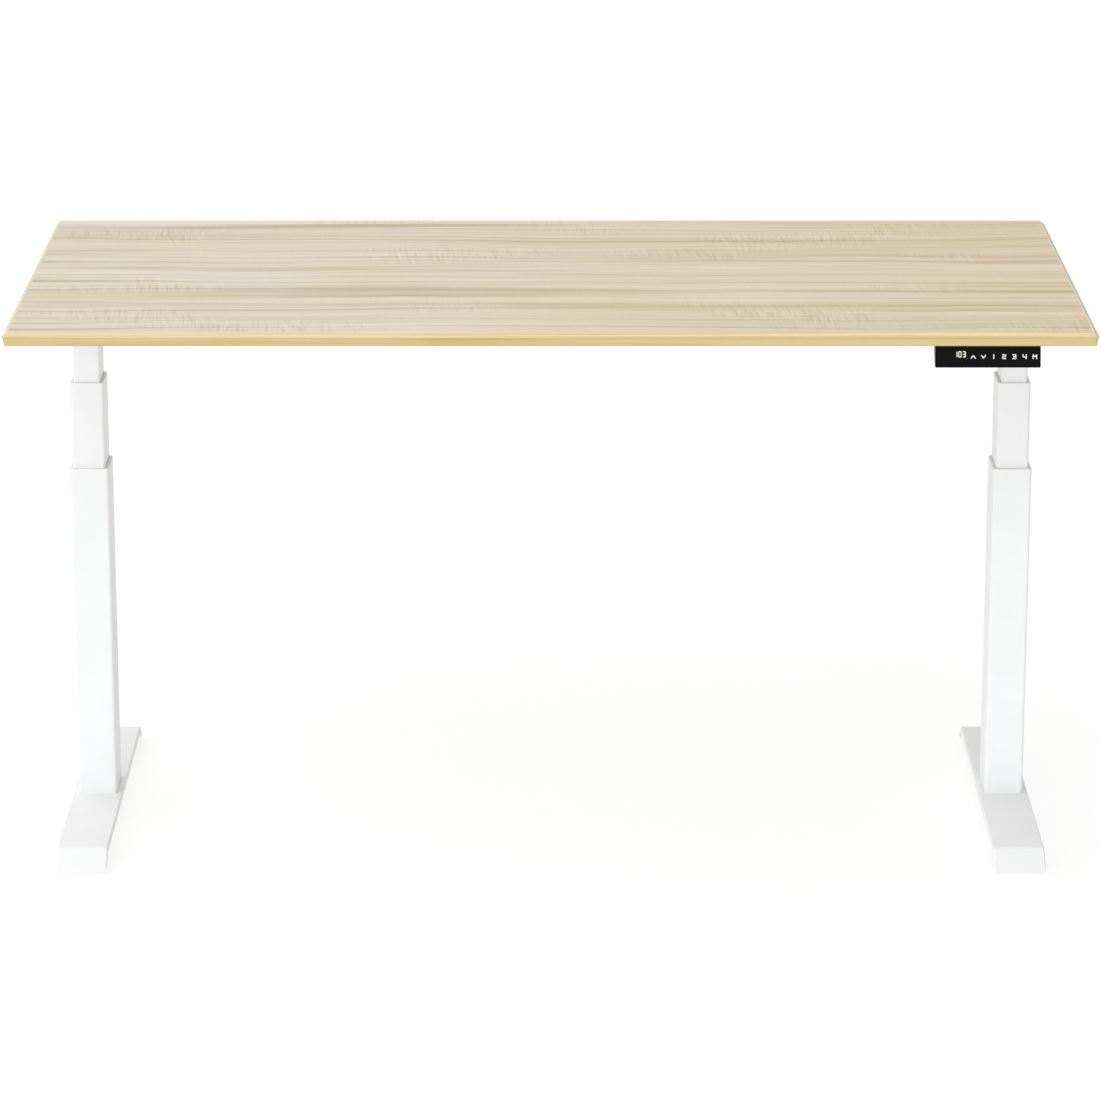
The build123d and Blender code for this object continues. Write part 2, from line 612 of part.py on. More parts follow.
def motor():
    """Round motor lying along X, with a neck that screws into the gearbox."""
    can = along_x((MOTOR_FACE - MOTOR_LENGTH, MOTOR_FACE), WORM_Y, WORM_Z, MOTOR_RADIUS)
    can = fillet(can.edges().filter_by(GeomType.CIRCLE), 2.0)
    for start in (MOTOR_FACE - MOTOR_LENGTH + MOTOR_CAP, MOTOR_FACE - 2 * MOTOR_CAP):
        span = (start, start + 1.2)
        can -= along_x(span, WORM_Y, WORM_Z, MOTOR_RADIUS + 1) - along_x(
            span, WORM_Y, WORM_Z, MOTOR_RADIUS - 0.8
        )
    can += along_x((MOTOR_FACE - 1, LEG_X - HOUSING[0] / 2), WORM_Y, WORM_Z, MOTOR_NECK_RADIUS)
    shaft_room = (MOTOR_FACE - MOTOR_LENGTH / 2 - 1, LEG_X - HOUSING[0] / 2)
    return can - along_x(shaft_room, WORM_Y, WORM_Z, WORM_SHAFT_RADIUS + RUNNING_CLEARANCE)


# ---------------------------------------------------------------- top frame, right-hand side
def head_bracket():
    """Plate on top of the inner tube, with two rails that slide in the crossbars."""
    x = (LEG_X - HEAD_WIDTH / 2, LEG_X + HEAD_WIDTH / 2)
    body = block(x, (-HEAD_HALF_DEPTH, HEAD_HALF_DEPTH), (HEAD_LOW, ARM_WEB_LOW))
    rail_x = (RAIL_END, x[1] - STOP_CLEARANCE)
    for side in (-1, 1):
        y = (side * RAIL_Y - RAIL_WIDTH / 2, side * RAIL_Y + RAIL_WIDTH / 2)
        inside = (y[0] + RAIL_WALL, y[1] - RAIL_WALL)
        body += block(rail_x, y, (RAIL_LOW, HEAD_LOW))
        body -= block(rail_x, inside, (RAIL_LOW + RAIL_WALL, HEAD_LOW - RAIL_WALL))
        for i in (-1, 1):
            hole = (HEAD_LOW, ARM_WEB_LOW)
            place = (LEG_X + i * HEAD_BOLT_X, side * HEAD_BOLT_Y)
            body -= post(*place, hole, BOLT_RADIUS + RUNNING_CLEARANCE)
    return body


def support_arm():
    """A channel under the worktop, notched where the rails pass its inner flange."""
    x = (LEG_X - ARM_WIDTH / 2, LEG_X + ARM_WIDTH / 2)
    y = (-ARM_HALF_LENGTH, ARM_HALF_LENGTH)
    z = (UNDERSIDE - ARM_FLANGE, UNDERSIDE)
    body = block(x, y, z)
    tips = [e for e in body.edges().filter_by(Axis.X) if e.center().Z < UNDERSIDE - 1]
    body = chamfer(tips, ARM_FLANGE * 0.6)
    body -= block((x[0] + ARM_SHEET, x[1] - ARM_SHEET), (y[0] - 1, y[1] + 1), (z[0], ARM_WEB_LOW))
    notch = HEAD_HALF_DEPTH - HEAD_EDGE + RAIL_GAP
    body -= block((x[0] - 1, x[0] + ARM_SHEET + 1), (-notch, notch), (z[0], ARM_WEB_LOW))
    for side in (-1, 1):
        for y_screw in ARM_SCREW_Y:
            hole = WOOD_SCREW_RADIUS + RUNNING_CLEARANCE
            body -= post(LEG_X, side * y_screw, (ARM_WEB_LOW, UNDERSIDE), hole)
        for i in (-1, 1):
            place = (LEG_X + i * HEAD_BOLT_X, side * HEAD_BOLT_Y)
            body -= post(*place, (ARM_WEB_LOW, UNDERSIDE), BOLT_RADIUS)
    return body


def crossbar_sleeve(y):
    half = SLEEVE_LENGTH / 2
    low = RAIL_MIDDLE - SLEEVE_HEIGHT / 2
    wide = (y - SLEEVE_WIDTH / 2, y + SLEEVE_WIDTH / 2)
    body = block((-half, half), wide, (low, low + SLEEVE_HEIGHT))
    body = chamfer(body.edges().filter_by(Axis.X), 0.8)
    body -= block(
        (-half, half),
        (wide[0] + SLEEVE_WALL, wide[1] - SLEEVE_WALL),
        (low + SLEEVE_WALL, low + SLEEVE_HEIGHT - SLEEVE_WALL),
    )
    for x in SLEEVE_SCREW_X:
        for side in (-1, 1):
            body -= post(side * x, y, (low - 1, low + SLEEVE_WALL), BOLT_RADIUS)
    return body


def frame_bolts():
    """Bolts that join heads to arms, and the screws that clamp rails in the crossbars."""
    bolts = []
    sleeve_low = RAIL_MIDDLE - SLEEVE_HEIGHT / 2
    for side in (-1, 1):
        for end in (-1, 1):
            for i in (-1, 1):
                place = (side * (LEG_X + i * HEAD_BOLT_X), end * HEAD_BOLT_Y)
                bolts.append(bolt(*place, HEAD_LOW, HEAD_PLATE + ARM_SHEET))
            for x in SLEEVE_SCREW_X:
                length = SLEEVE_WALL + RUNNING_CLEARANCE
                bolts.append(bolt(side * x, end * RAIL_Y, sleeve_low, length))
    return bolts


# ---------------------------------------------------------------- control box
def inlet_opening():
    half = (INLET_WIDTH / 2, INLET_HEIGHT / 2)
    return block(
        (INLET_X - half[0], INLET_X + half[0]),
        (BOX_REAR - BOX_WALL, BOX_REAR),
        (SOCKETS_Z - half[1], SOCKETS_Z + half[1]),
    )


def socket_block_span():
    half = (SOCKET_COUNT * SOCKET_PITCH) / 2
    x = (SOCKETS_X - half, SOCKETS_X + half)
    high = SOCKET_HEIGHT / 2 + SOCKET_BLOCK_WALL
    return x, (SOCKETS_Z - high, SOCKETS_Z + high)


def control_box_base():
    """Moulded tray, open upwards, with windows in its rear wall and bosses for the board."""
    z = (BOX_LOW, UNDERSIDE - BOX_WALL)
    outside = RectangleRounded(BOX_LENGTH, BOX_DEPTH, BOX_CORNER)
    inside = RectangleRounded(
        BOX_LENGTH - 2 * BOX_WALL, BOX_DEPTH - 2 * BOX_WALL, BOX_CORNER - BOX_WALL
    )
    body = upright(outside, 0, BOX_MIDDLE_Y, z)
    body = fillet(body.edges().group_by(Axis.Z)[0], 1.5)
    body -= upright(inside, 0, BOX_MIDDLE_Y, (BOX_LOW + BOX_WALL, z[1]))
    x, high = socket_block_span()
    body -= block(x, (BOX_REAR - BOX_WALL - 1, BOX_REAR + 1), high)
    body -= inlet_opening()
    for i in (-1, 1):
        for j in (-1, 1):
            place = (
                i * (BOX_LENGTH / 2 - BOX_WALL - BOARD_MARGIN - 5),
                BOX_MIDDLE_Y + j * (BOX_DEPTH / 2 - BOX_WALL - BOARD_MARGIN - 5),
            )
            body += post(*place, (BOX_LOW + BOX_WALL / 2, BOARD_LOW), 3.5)
    return body


def control_box_lid():
    """Flat lid against the worktop, with an ear at each end for the screws."""
    z = (UNDERSIDE - BOX_WALL, UNDERSIDE)
    section = RectangleRounded(BOX_LENGTH + 2 * BOX_EAR, BOX_DEPTH, BOX_CORNER)
    body = upright(section, 0, BOX_MIDDLE_Y, z)
    for i in (-1, 1):
        for j in (-1, 1):
            place = (i * BOX_SCREW_X, BOX_MIDDLE_Y + j * BOX_SCREW_Y)
            body -= post(*place, z, WOOD_SCREW_RADIUS + RUNNING_CLEARANCE)
    return body


def control_board():
    """Circuit board with its transformer, capacitors and relays."""
    half = (BOX_LENGTH / 2 - BOX_WALL - BOARD_MARGIN, BOX_DEPTH / 2 - BOX_WALL - BOARD_MARGIN)
    z = (BOARD_LOW, BOARD_LOW + BOARD_SHEET)
    rear = BOX_MIDDLE_Y + half[1] - INLET_DEPTH
    front = BOX_MIDDLE_Y - half[1]
    body = block((-half[0], half[0]), (front, BOX_MIDDLE_Y + half[1]), z)
    body += block((50, 110), (front + 6, front + 40), (z[1], z[1] + 22))
    for x in (-100, -76):
        body += post(x, front + 14, (z[1], z[1] + 24), 9)
    for x in (-40, -18, 4):
        body += block((x, x + 16), (front + 4, front + 26), (z[1], z[1] + 15))
    body += block((-60, 30), (rear - 14, rear - 10), (z[1], z[1] + 18))
    return body


def mains_inlet():
    """Appliance inlet: a flanged shell with three blades."""
    hole = (INLET_WIDTH, INLET_HEIGHT)
    x = (INLET_X - hole[0] / 2, INLET_X + hole[0] / 2)
    z = (SOCKETS_Z - hole[1] / 2, SOCKETS_Z + hole[1] / 2)
    body = block(x, (BOX_REAR - INLET_DEPTH, BOX_REAR), z)
    body += block(
        (x[0] - INLET_FLANGE, x[1] + INLET_FLANGE),
        (BOX_REAR, BOX_REAR + INLET_WALL),
        (z[0] - INLET_FLANGE, z[1] + INLET_FLANGE),
    )
    floor = BOX_REAR - INLET_DEPTH + INLET_WALL
    body -= block(
        (x[0] + INLET_WALL, x[1] - INLET_WALL),
        (floor, BOX_REAR + INLET_WALL),
        (z[0] + INLET_WALL, z[1] - INLET_WALL),
    )
    for offset, height in ((-7.0, -1.5), (0.0, 2.5), (7.0, -1.5)):
        body += block(
            (INLET_X + offset - 1, INLET_X + offset + 1),
            (floor, floor + INLET_PIN_LENGTH),
            (SOCKETS_Z + height - 2, SOCKETS_Z + height + 2),
        )
    return body


def cable_sockets():
    """A row of sockets for the two motors, the handset and a spare."""
    x, z = socket_block_span()
    body = block(x, (BOX_REAR - SOCKET_DEPTH - SOCKET_BLOCK_WALL, BOX_REAR), z)
    for socket in range(SOCKET_COUNT):
        middle = x[0] + (socket + 0.5) * SOCKET_PITCH
        body -= block(
            (middle - SOCKET_WIDTH / 2, middle + SOCKET_WIDTH / 2),
            (BOX_REAR - SOCKET_DEPTH, BOX_REAR),
            (SOCKETS_Z - SOCKET_HEIGHT / 2, SOCKETS_Z + SOCKET_HEIGHT / 2),
        )
    return body


# ---------------------------------------------------------------- handset
def handset_profile(front_back, wall):
    """Side outline, with its face set back by one amount and its other walls by another."""
    lean = tan(HANDSET_TILT)
    behind = front_back / cos(HANDSET_TILT)
    top = UNDERSIDE - wall
    low = HANDSET_LOW + wall

    def face(z):
        return HANDSET_FACE_TOP - (UNDERSIDE - z) * lean + behind

    def back(z):
        top_back = HANDSET_FACE_TOP + HANDSET_TOP_DEPTH
        run = HANDSET_FACE_TOP + HANDSET_TOP_DEPTH - (HANDSET_FACE_LOW + HANDSET_LOW_DEPTH)
        return top_back - (UNDERSIDE - z) * run / HANDSET_HEIGHT - wall

    return Polyline((face(top), top), (face(low), low), (back(low), low), (back(top), top), close=True)


def handset_solid(front_back, wall, x):
    section = Plane.YZ * make_face(handset_profile(front_back, wall))
    return Pos(x[0], 0, 0) * extrude(section, x[1] - x[0])


def handset_blank():
    """The handset's whole outer shape, its lower and front edges rounded."""
    body = handset_solid(0, 0, (HANDSET_LEFT, HANDSET_RIGHT))
    edges = [e for e in body.edges() if e.center().Z < UNDERSIDE - 1]
    return fillet(edges, HANDSET_ROUND)


def face_place(along, up):
    """A plane on the handset's face, along from its left end and up from its lower edge."""
    rise = cos(HANDSET_TILT)
    lean = sin(HANDSET_TILT)
    spot = (HANDSET_LEFT + along, HANDSET_FACE_LOW + up * lean, HANDSET_LOW + up * rise)
    return Plane(origin=spot, x_dir=(1, 0, 0), z_dir=(0, -rise, lean))


def display_window(clearance):
    up = HANDSET_HEIGHT / cos(HANDSET_TILT) / 2
    section = RectangleRounded(DISPLAY_WIDTH + 2 * clearance, DISPLAY_HEIGHT + 2 * clearance, 1.0)
    return extrude(face_place(DISPLAY_X, up) * section, -FASCIA_SHEET)


def handset_nodes():
    blank = handset_blank()
    behind = handset_solid(FASCIA_SHEET, -40, (HANDSET_LEFT - 1, HANDSET_RIGHT + 1))
    cavity_x = (HANDSET_LEFT + HANDSET_END_BLOCK, HANDSET_RIGHT - HANDSET_END_BLOCK)
    housing = (blank & behind) - handset_solid(FASCIA_SHEET, HANDSET_WALL, cavity_x)
    seat = UNDERSIDE - HANDSET_HEIGHT / 3
    for x in (HANDSET_LEFT + HANDSET_END_BLOCK / 2, HANDSET_RIGHT - HANDSET_END_BLOCK / 2):
        housing -= post(x, HANDSET_SCREW_Y, (seat, UNDERSIDE), WOOD_SCREW_RADIUS + RUNNING_CLEARANCE)
        housing -= post(x, HANDSET_SCREW_Y, (HANDSET_LOW, seat), WOOD_SCREW_HEAD + RUNNING_CLEARANCE)
    fascia = (blank - behind) - display_window(0)
    display = display_window(0)
    return {"handset_housing": housing, "handset_fascia": fascia, "handset_display": display}


# ---------------------------------------------------------------- the whole desk
def leg_nodes():
    """Every piece of the right-hand leg, from the floor up."""
    return {
        "foot": foot(),
        "outer_column": outer_column(),
        "outer_collar": collar(OUTER, MIDDLE, OUTER_TOP),
        "base_screw": base_screw(),
        "front_leveller": leveller(LEG_X, -LEVELLER_Y),
        "rear_leveller": leveller(LEG_X, LEVELLER_Y),
        "middle_column": tube(MIDDLE, (MIDDLE_LOW, MIDDLE_TOP - COLLAR_CAP)),
        "middle_collar": collar(MIDDLE, INNER, MIDDLE_TOP),
        "middle_pads": guide_pads(MIDDLE, MIDDLE_LOW),
        "middle_end_plate": middle_end_plate(),
        "screw_tube": screw_tube(),
        "inner_column": inner_column(),
        "inner_pads": guide_pads(INNER, INNER_LOW),
        "spindle_nut": spindle_nut(),
        "drive_tube": drive_tube(),
        "worm_wheel": worm_wheel(),
        "gearbox_housing": gearbox_housing(),
        "worm_shaft": worm_shaft(),
        "motor": motor(),
        "head_bracket": head_bracket(),
        "support_arm": support_arm(),
    }


def as_list(shape):
    return shape if isinstance(shape, list) else [shape]


def desk_nodes():
    nodes = dict(worktop_nodes())
    for name, shape in leg_nodes().items():
        nodes["right_" + name] = shape
        nodes["left_" + name] = [mirror(piece, about=Plane.YZ) for piece in as_list(shape)]
    nodes["foot_bolts"] = foot_bolts()
    nodes["leveller_nuts"] = [leveller_nut(*place) for place in leveller_places()]
    nodes["front_crossbar"] = crossbar_sleeve(-RAIL_Y)
    nodes["rear_crossbar"] = crossbar_sleeve(RAIL_Y)
    nodes["frame_bolts"] = frame_bolts()
    nodes["control_box_base"] = control_box_base()
    nodes["control_box_lid"] = control_box_lid()
    nodes["control_board"] = control_board()
    nodes["mains_inlet"] = mains_inlet()
    nodes["cable_sockets"] = cable_sockets()
    nodes.update(handset_nodes())
    return nodes


os.makedirs("parts", exist_ok=True)
for node_name, node_shape in desk_nodes().items():
    solids = [solid for piece in as_list(node_shape) for solid in piece.solids()]
    export_step(Compound(solids), f"parts/{node_name}.step")
    print(node_name, len(solids), round(sum(solid.volume for solid in solids)))
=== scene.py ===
from math import atan2, cos, pi, radians, sin

import bmesh
import bpy
from mathutils import Matrix, Vector


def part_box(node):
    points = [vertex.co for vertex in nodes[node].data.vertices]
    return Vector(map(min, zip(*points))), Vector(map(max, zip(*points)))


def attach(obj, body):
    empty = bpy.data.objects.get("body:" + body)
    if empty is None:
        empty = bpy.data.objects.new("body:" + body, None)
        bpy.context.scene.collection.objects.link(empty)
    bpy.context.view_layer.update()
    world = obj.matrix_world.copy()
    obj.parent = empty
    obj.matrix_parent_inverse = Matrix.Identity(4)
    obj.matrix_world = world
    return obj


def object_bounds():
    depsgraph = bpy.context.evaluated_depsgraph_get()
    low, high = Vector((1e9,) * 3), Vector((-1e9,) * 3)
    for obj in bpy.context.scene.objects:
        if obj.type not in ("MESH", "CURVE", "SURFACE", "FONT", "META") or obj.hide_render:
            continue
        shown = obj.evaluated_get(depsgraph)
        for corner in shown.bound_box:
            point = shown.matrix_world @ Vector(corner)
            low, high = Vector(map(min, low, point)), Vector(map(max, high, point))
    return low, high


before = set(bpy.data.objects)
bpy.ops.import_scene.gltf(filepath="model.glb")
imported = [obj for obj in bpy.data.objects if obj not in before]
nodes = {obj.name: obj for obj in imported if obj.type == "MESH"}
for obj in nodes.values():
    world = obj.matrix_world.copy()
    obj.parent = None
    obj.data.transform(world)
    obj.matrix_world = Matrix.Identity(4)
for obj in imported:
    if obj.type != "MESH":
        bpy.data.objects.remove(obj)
cad_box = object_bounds()
low, high = cad_box
scene = bpy.context.scene

MM = 0.001
SIDES = (("left", -1), ("right", 1))
low_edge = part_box("worktop_edging")[0].z
screw_axis = sum(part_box("right_base_screw"), Vector()) / 2


# ---------------------------------------------------------------- camera, light and floor
CAMERA_AWAY = 6.60          # in front of the worktop's front edge
CAMERA_ABOVE = 1.56         # above the worktop
CAMERA_PITCH = 15.97
CAMERA_LENS = 152.1
ROOM_LIGHT_LEFT = 1.26
ROOM_LIGHT_RIGHT = 0.25
ROOM_LIGHT_LOW = 0.60       # share of it that comes from near the horizon
ROOM_LIGHT_HIGH = 1.15      # and from well above it
ROOM_LIGHT_TURN = (-0.3, 0.8)    # where it changes from left to right, as a unit vector's x
ROOM_LIGHT_RISE = (0.1, 0.5)     # and from low to high, as its z
SOFT_BOX_SIZE = 3.4
SOFT_BOXES = (              # name, place and power in watts
    ("key_light", (-5.4, -6.6, 1.4), 52.5),
    ("front_light", (1.4, -8.2, 1.6), 127.0),
    ("high_light", (0.2, -5.2, 6.4), 58.5),
)


def make_camera():
    data = bpy.data.cameras.new("studio_camera")
    data.lens = CAMERA_LENS
    data.sensor_width = 36.0
    data.clip_end = 60.0
    camera = bpy.data.objects.new("studio_camera", data)
    camera.location = (0.0, low.y - CAMERA_AWAY, high.z + CAMERA_ABOVE)
    camera.rotation_euler = (radians(90.0 - CAMERA_PITCH), 0.0, 0.0)
    scene.collection.objects.link(camera)
    scene.camera = camera


def soft_box(name, place, target, watts):
    """A square soft light that faces the target."""
    data = bpy.data.lights.new(name, "AREA")
    data.energy = watts
    data.size = SOFT_BOX_SIZE
    light = bpy.data.objects.new(name, data)
    light.location = place
    aim = Vector(target) - Vector(place)
    light.rotation_euler = aim.to_track_quat("-Z", "Y").to_euler()
    scene.collection.objects.link(light)


def light_studio():
    """A room that looks white all round, while its light falls off to the right and low down."""
    world = bpy.data.worlds.new("white_studio")
    world.use_nodes = True
    tree = world.node_tree
    backdrop = tree.nodes["Background"]
    backdrop.inputs["Color"].default_value = (1.0, 1.0, 1.0, 1.0)
    way = tree.nodes.new("ShaderNodeTexCoord")
    axes = tree.nodes.new("ShaderNodeSeparateXYZ")
    fall = tree.nodes.new("ShaderNodeMapRange")
    rise = tree.nodes.new("ShaderNodeMapRange")
    for node, numbers in (
        (fall, (*ROOM_LIGHT_TURN, ROOM_LIGHT_LEFT, ROOM_LIGHT_RIGHT)),
        (rise, (*ROOM_LIGHT_RISE, ROOM_LIGHT_LOW, ROOM_LIGHT_HIGH)),
    ):
        for socket, number in zip(list(node.inputs)[1:5], numbers):
            socket.default_value = number
    both = tree.nodes.new("ShaderNodeMath")
    both.operation = "MULTIPLY"
    seen = tree.nodes.new("ShaderNodeLightPath")
    level = tree.nodes.new("ShaderNodeMapRange")      # goes to 1 where the room itself is seen
    tree.links.new(way.outputs["Generated"], axes.inputs["Vector"])
    tree.links.new(axes.outputs["X"], fall.inputs["Value"])
    tree.links.new(axes.outputs["Z"], rise.inputs["Value"])
    tree.links.new(fall.outputs["Result"], both.inputs[0])
    tree.links.new(rise.outputs["Result"], both.inputs[1])
    tree.links.new(both.outputs[0], level.inputs["To Min"])
    tree.links.new(seen.outputs["Is Camera Ray"], level.inputs["Value"])
    tree.links.new(level.outputs["Result"], backdrop.inputs["Strength"])
    scene.world = world
    scene.view_settings.view_transform = "Standard"
    middle = (0.0, 0.0, high.z / 2)
    for name, place, watts in SOFT_BOXES:
        soft_box(name, place, middle, watts)


# ---------------------------------------------------------------- shader maths
def sum_of(operation, reflected=False):
    """A method that makes one Math node of a value and a number or another value."""
    def method(self, other):
        pair = (other, self) if reflected else (self, other)
        settings = {"operation": operation}
        return self.finish.node("ShaderNodeMath", settings, dict(enumerate(pair)))
    return method


class Value:
    """A node's output, which sums and products can be taken of."""

    def __init__(self, finish, made, output=0):
        self.finish = finish
        self.made = made
        self.socket = made.outputs[output]

    def __getitem__(self, output):
        return Value(self.finish, self.made, output)

    __add__ = sum_of("ADD")
    __radd__ = sum_of("ADD", True)
    __sub__ = sum_of("SUBTRACT")
    __rsub__ = sum_of("SUBTRACT", True)
    __mul__ = sum_of("MULTIPLY")
    __rmul__ = sum_of("MULTIPLY", True)
    __truediv__ = sum_of("DIVIDE")
    __gt__ = sum_of("GREATER_THAN")
    __mod__ = sum_of("FLOORED_MODULO")

    def __abs__(self):
        return self.finish.node("ShaderNodeMath", {"operation": "ABSOLUTE"}, {0: self})


class Finish:
    """A material whose pattern is made of nodes on the object's own coordinates, in metres."""

    def __init__(self, name, **constants):
        self.material = bpy.data.materials.new(name)
        self.material.use_nodes = True
        self.nodes = self.material.node_tree.nodes
        self.links = self.material.node_tree.links
        self.shader = self.nodes["Principled BSDF"]
        self.set(self.shader, {k.replace("_", " "): v for k, v in constants.items()})
        self.point = self.node("ShaderNodeTexCoord", {}, {})["Object"]
        self.axes = self.node("ShaderNodeSeparateXYZ", {}, {0: self.point})
        self.x, self.y, self.z = (self.axes[axis] for axis in "XYZ")

    def set(self, made, values):
        for key, value in values.items():
            if isinstance(value, Value):
                self.links.new(value.socket, made.inputs[key])
            else:
                made.inputs[key].default_value = value

    def node(self, kind, settings, values):
        """Any node: its type, its own settings, and the numbers or values of its sockets."""
        made = self.nodes.new(kind)
        for key, setting in settings.items():
            setattr(made, key, setting)
        self.set(made, values)
        return Value(self, made)

    def at(self, x, y, z):
        return self.node("ShaderNodeCombineXYZ", {}, {0: x, 1: y, 2: z})

    def noise(self, place, scale, detail=2.0, rough=0.5, twist=0.0):
        values = {
            "Vector": place, "Scale": scale, "Detail": detail, "Roughness": rough,
            "Distortion": twist,
        }
        return self.node("ShaderNodeTexNoise", {}, values)

    def step(self, value, start, end, first=0.0, last=1.0):
        """Goes smoothly from first to last while the value goes from start to end."""
        values = {0: value, 1: start, 2: end, 3: first, 4: last}
        return self.node("ShaderNodeMapRange", {"interpolation_type": "SMOOTHSTEP"}, values)

    def mix(self, share, first, second, blend="MIX"):
        settings = {"data_type": "RGBA", "blend_type": blend}
        return self.node("ShaderNodeMix", settings, {0: share, 6: first, 7: second})[2]

    def relief(self, height, depth, strength=1.0):
        values = {"Height": height, "Distance": depth, "Strength": strength}
        self.set(self.shader, {"Normal": self.node("ShaderNodeBump", {}, values)})

    def wear(self, colour, roughness):
        """Gives the shader its colour and roughness, and hands over the finished material."""
        self.set(self.shader, {"Base Color": colour, "Roughness": roughness})
        return self.material


def tint(red, green, blue):
    """A screen colour, each part from 0 to 255, made linear."""
    parts = [c / 255.0 for c in (red, green, blue)]
    linear = [c / 12.92 if c <= 0.04045 else ((c + 0.055) / 1.055) ** 2.4 for c in parts]
    return (*linear, 1.0)


# ---------------------------------------------------------------- finishes
def growth_lines(f, v, count, along, seed, spread, width):
    """Dark lines where slow and fast growth meet: they run lengthways, close up and part."""
    drift = f.noise(f.at(f.x * along, v * count * 0.7, seed), 1.0, 2.0, 0.45)
    turn = (v * count + drift * spread) % 1.0
    return f.step(abs(turn - 0.5), 0.0, width, 1.0, 0.0), turn


def worktop_decor():
    """Pale figured wood: growth lines, hair and pores lengthways, with curl across them."""
    f = Finish("worktop_decor")
    wander = f.noise(f.at(f.x * 1.9, f.y * 1.6, 3.1), 1.0, 1.0) - 0.5
    sway = f.noise(f.at(f.x * 5.5, f.y * 5.0, 0.7), 1.0, 1.0) - 0.5
    v = f.y + wander * 0.070 + sway * 0.014
    broad, turn = growth_lines(f, v, 9.0, 0.26, 2.6, 4.2, 0.12)
    close = growth_lines(f, v, 19.0, 0.34, 7.3, 4.6, 0.15)[0]
    thin = growth_lines(f, v, 52.0, 0.6, 12.4, 5.0, 0.20)[0]
    fade = f.step(f.noise(f.at(f.x * 1.2, v * 9.0, 6.0), 1.0, 2.0), 0.24, 0.48)
    fade_close = f.step(f.noise(f.at(f.x * 1.6, v * 14.0, 11.0), 1.0, 2.0), 0.34, 0.56)
    fade_thin = f.step(f.noise(f.at(f.x * 1.8, v * 18.0, 16.0), 1.0, 2.0), 0.34, 0.58)
    hair = f.noise(f.at(f.x * 2.2, v * 240.0, 5.2), 1.0, 3.0, 0.6)
    pore = f.noise(f.at(f.x * 14.0, v * 900.0, 9.0), 1.0, 2.0)
    blotch = f.noise(f.at(f.x * 2.6, v * 10.0, 1.7), 1.0, 3.0)
    beside = f.step(turn, 0.16, 0.50) * f.step(turn, 0.86, 0.50)
    olive = f.step(blotch, 0.42, 0.66) * (beside * 0.7 + 0.3)
    cream = f.step(f.noise(f.at(f.x * 0.8, v * 21.0, 14.0), 1.0, 2.0), 0.46, 0.62)
    brown = f.step(f.x + wander * 0.5, -0.45, 0.5)

    patch = f.step(f.noise(f.at(f.x * 3.0 + 4.0, f.y * 8.5, 4.4), 1.0, 1.0), 0.52, 0.70)
    lean = f.x * 250.0 + f.y * 15.0 + sway * 7.0
    curl = f.noise(f.at(lean, v * 15.0, 2.2), 1.0, 1.0)
    glint = f.noise(f.at(lean * 1.2, v * 13.0, 8.2), 1.0, 1.0)
    strokes = patch * 0.88 + 0.12

    colour = f.mix(cream * 0.85, tint(216, 205, 184), tint(224, 216, 202))
    for share, shade in (
        (olive * 0.80, tint(246, 246, 224)),
        (broad * fade * 0.74, tint(218, 211, 202)),
        (close * fade_close * 0.62, tint(226, 218, 208)),
        (thin * fade_thin * 0.75, tint(236, 230, 223)),
        (brown, tint(247, 241, 229)),
        (strokes * f.step(curl, 0.48, 0.70) * 0.62, tint(236, 228, 202)),
        (f.step(hair, 0.50, 0.72), tint(240, 236, 226)),
        (f.step(pore, 0.62, 0.80) * 0.5, tint(232, 226, 214)),
    ):
        colour = f.mix(share, colour, shade, "MULTIPLY")
    colour = f.mix(strokes * f.step(glint, 0.50, 0.70) * 0.26, colour, tint(230, 222, 208))
    f.relief(pore * 0.7 + hair * 0.3, 0.00005, 0.6)
    return f.wear(colour, 0.44 + pore * 0.12 + hair * 0.06)


ARRIS_DEPTH = 7.2 * MM      # of the painted shade line under the edge's upper facet
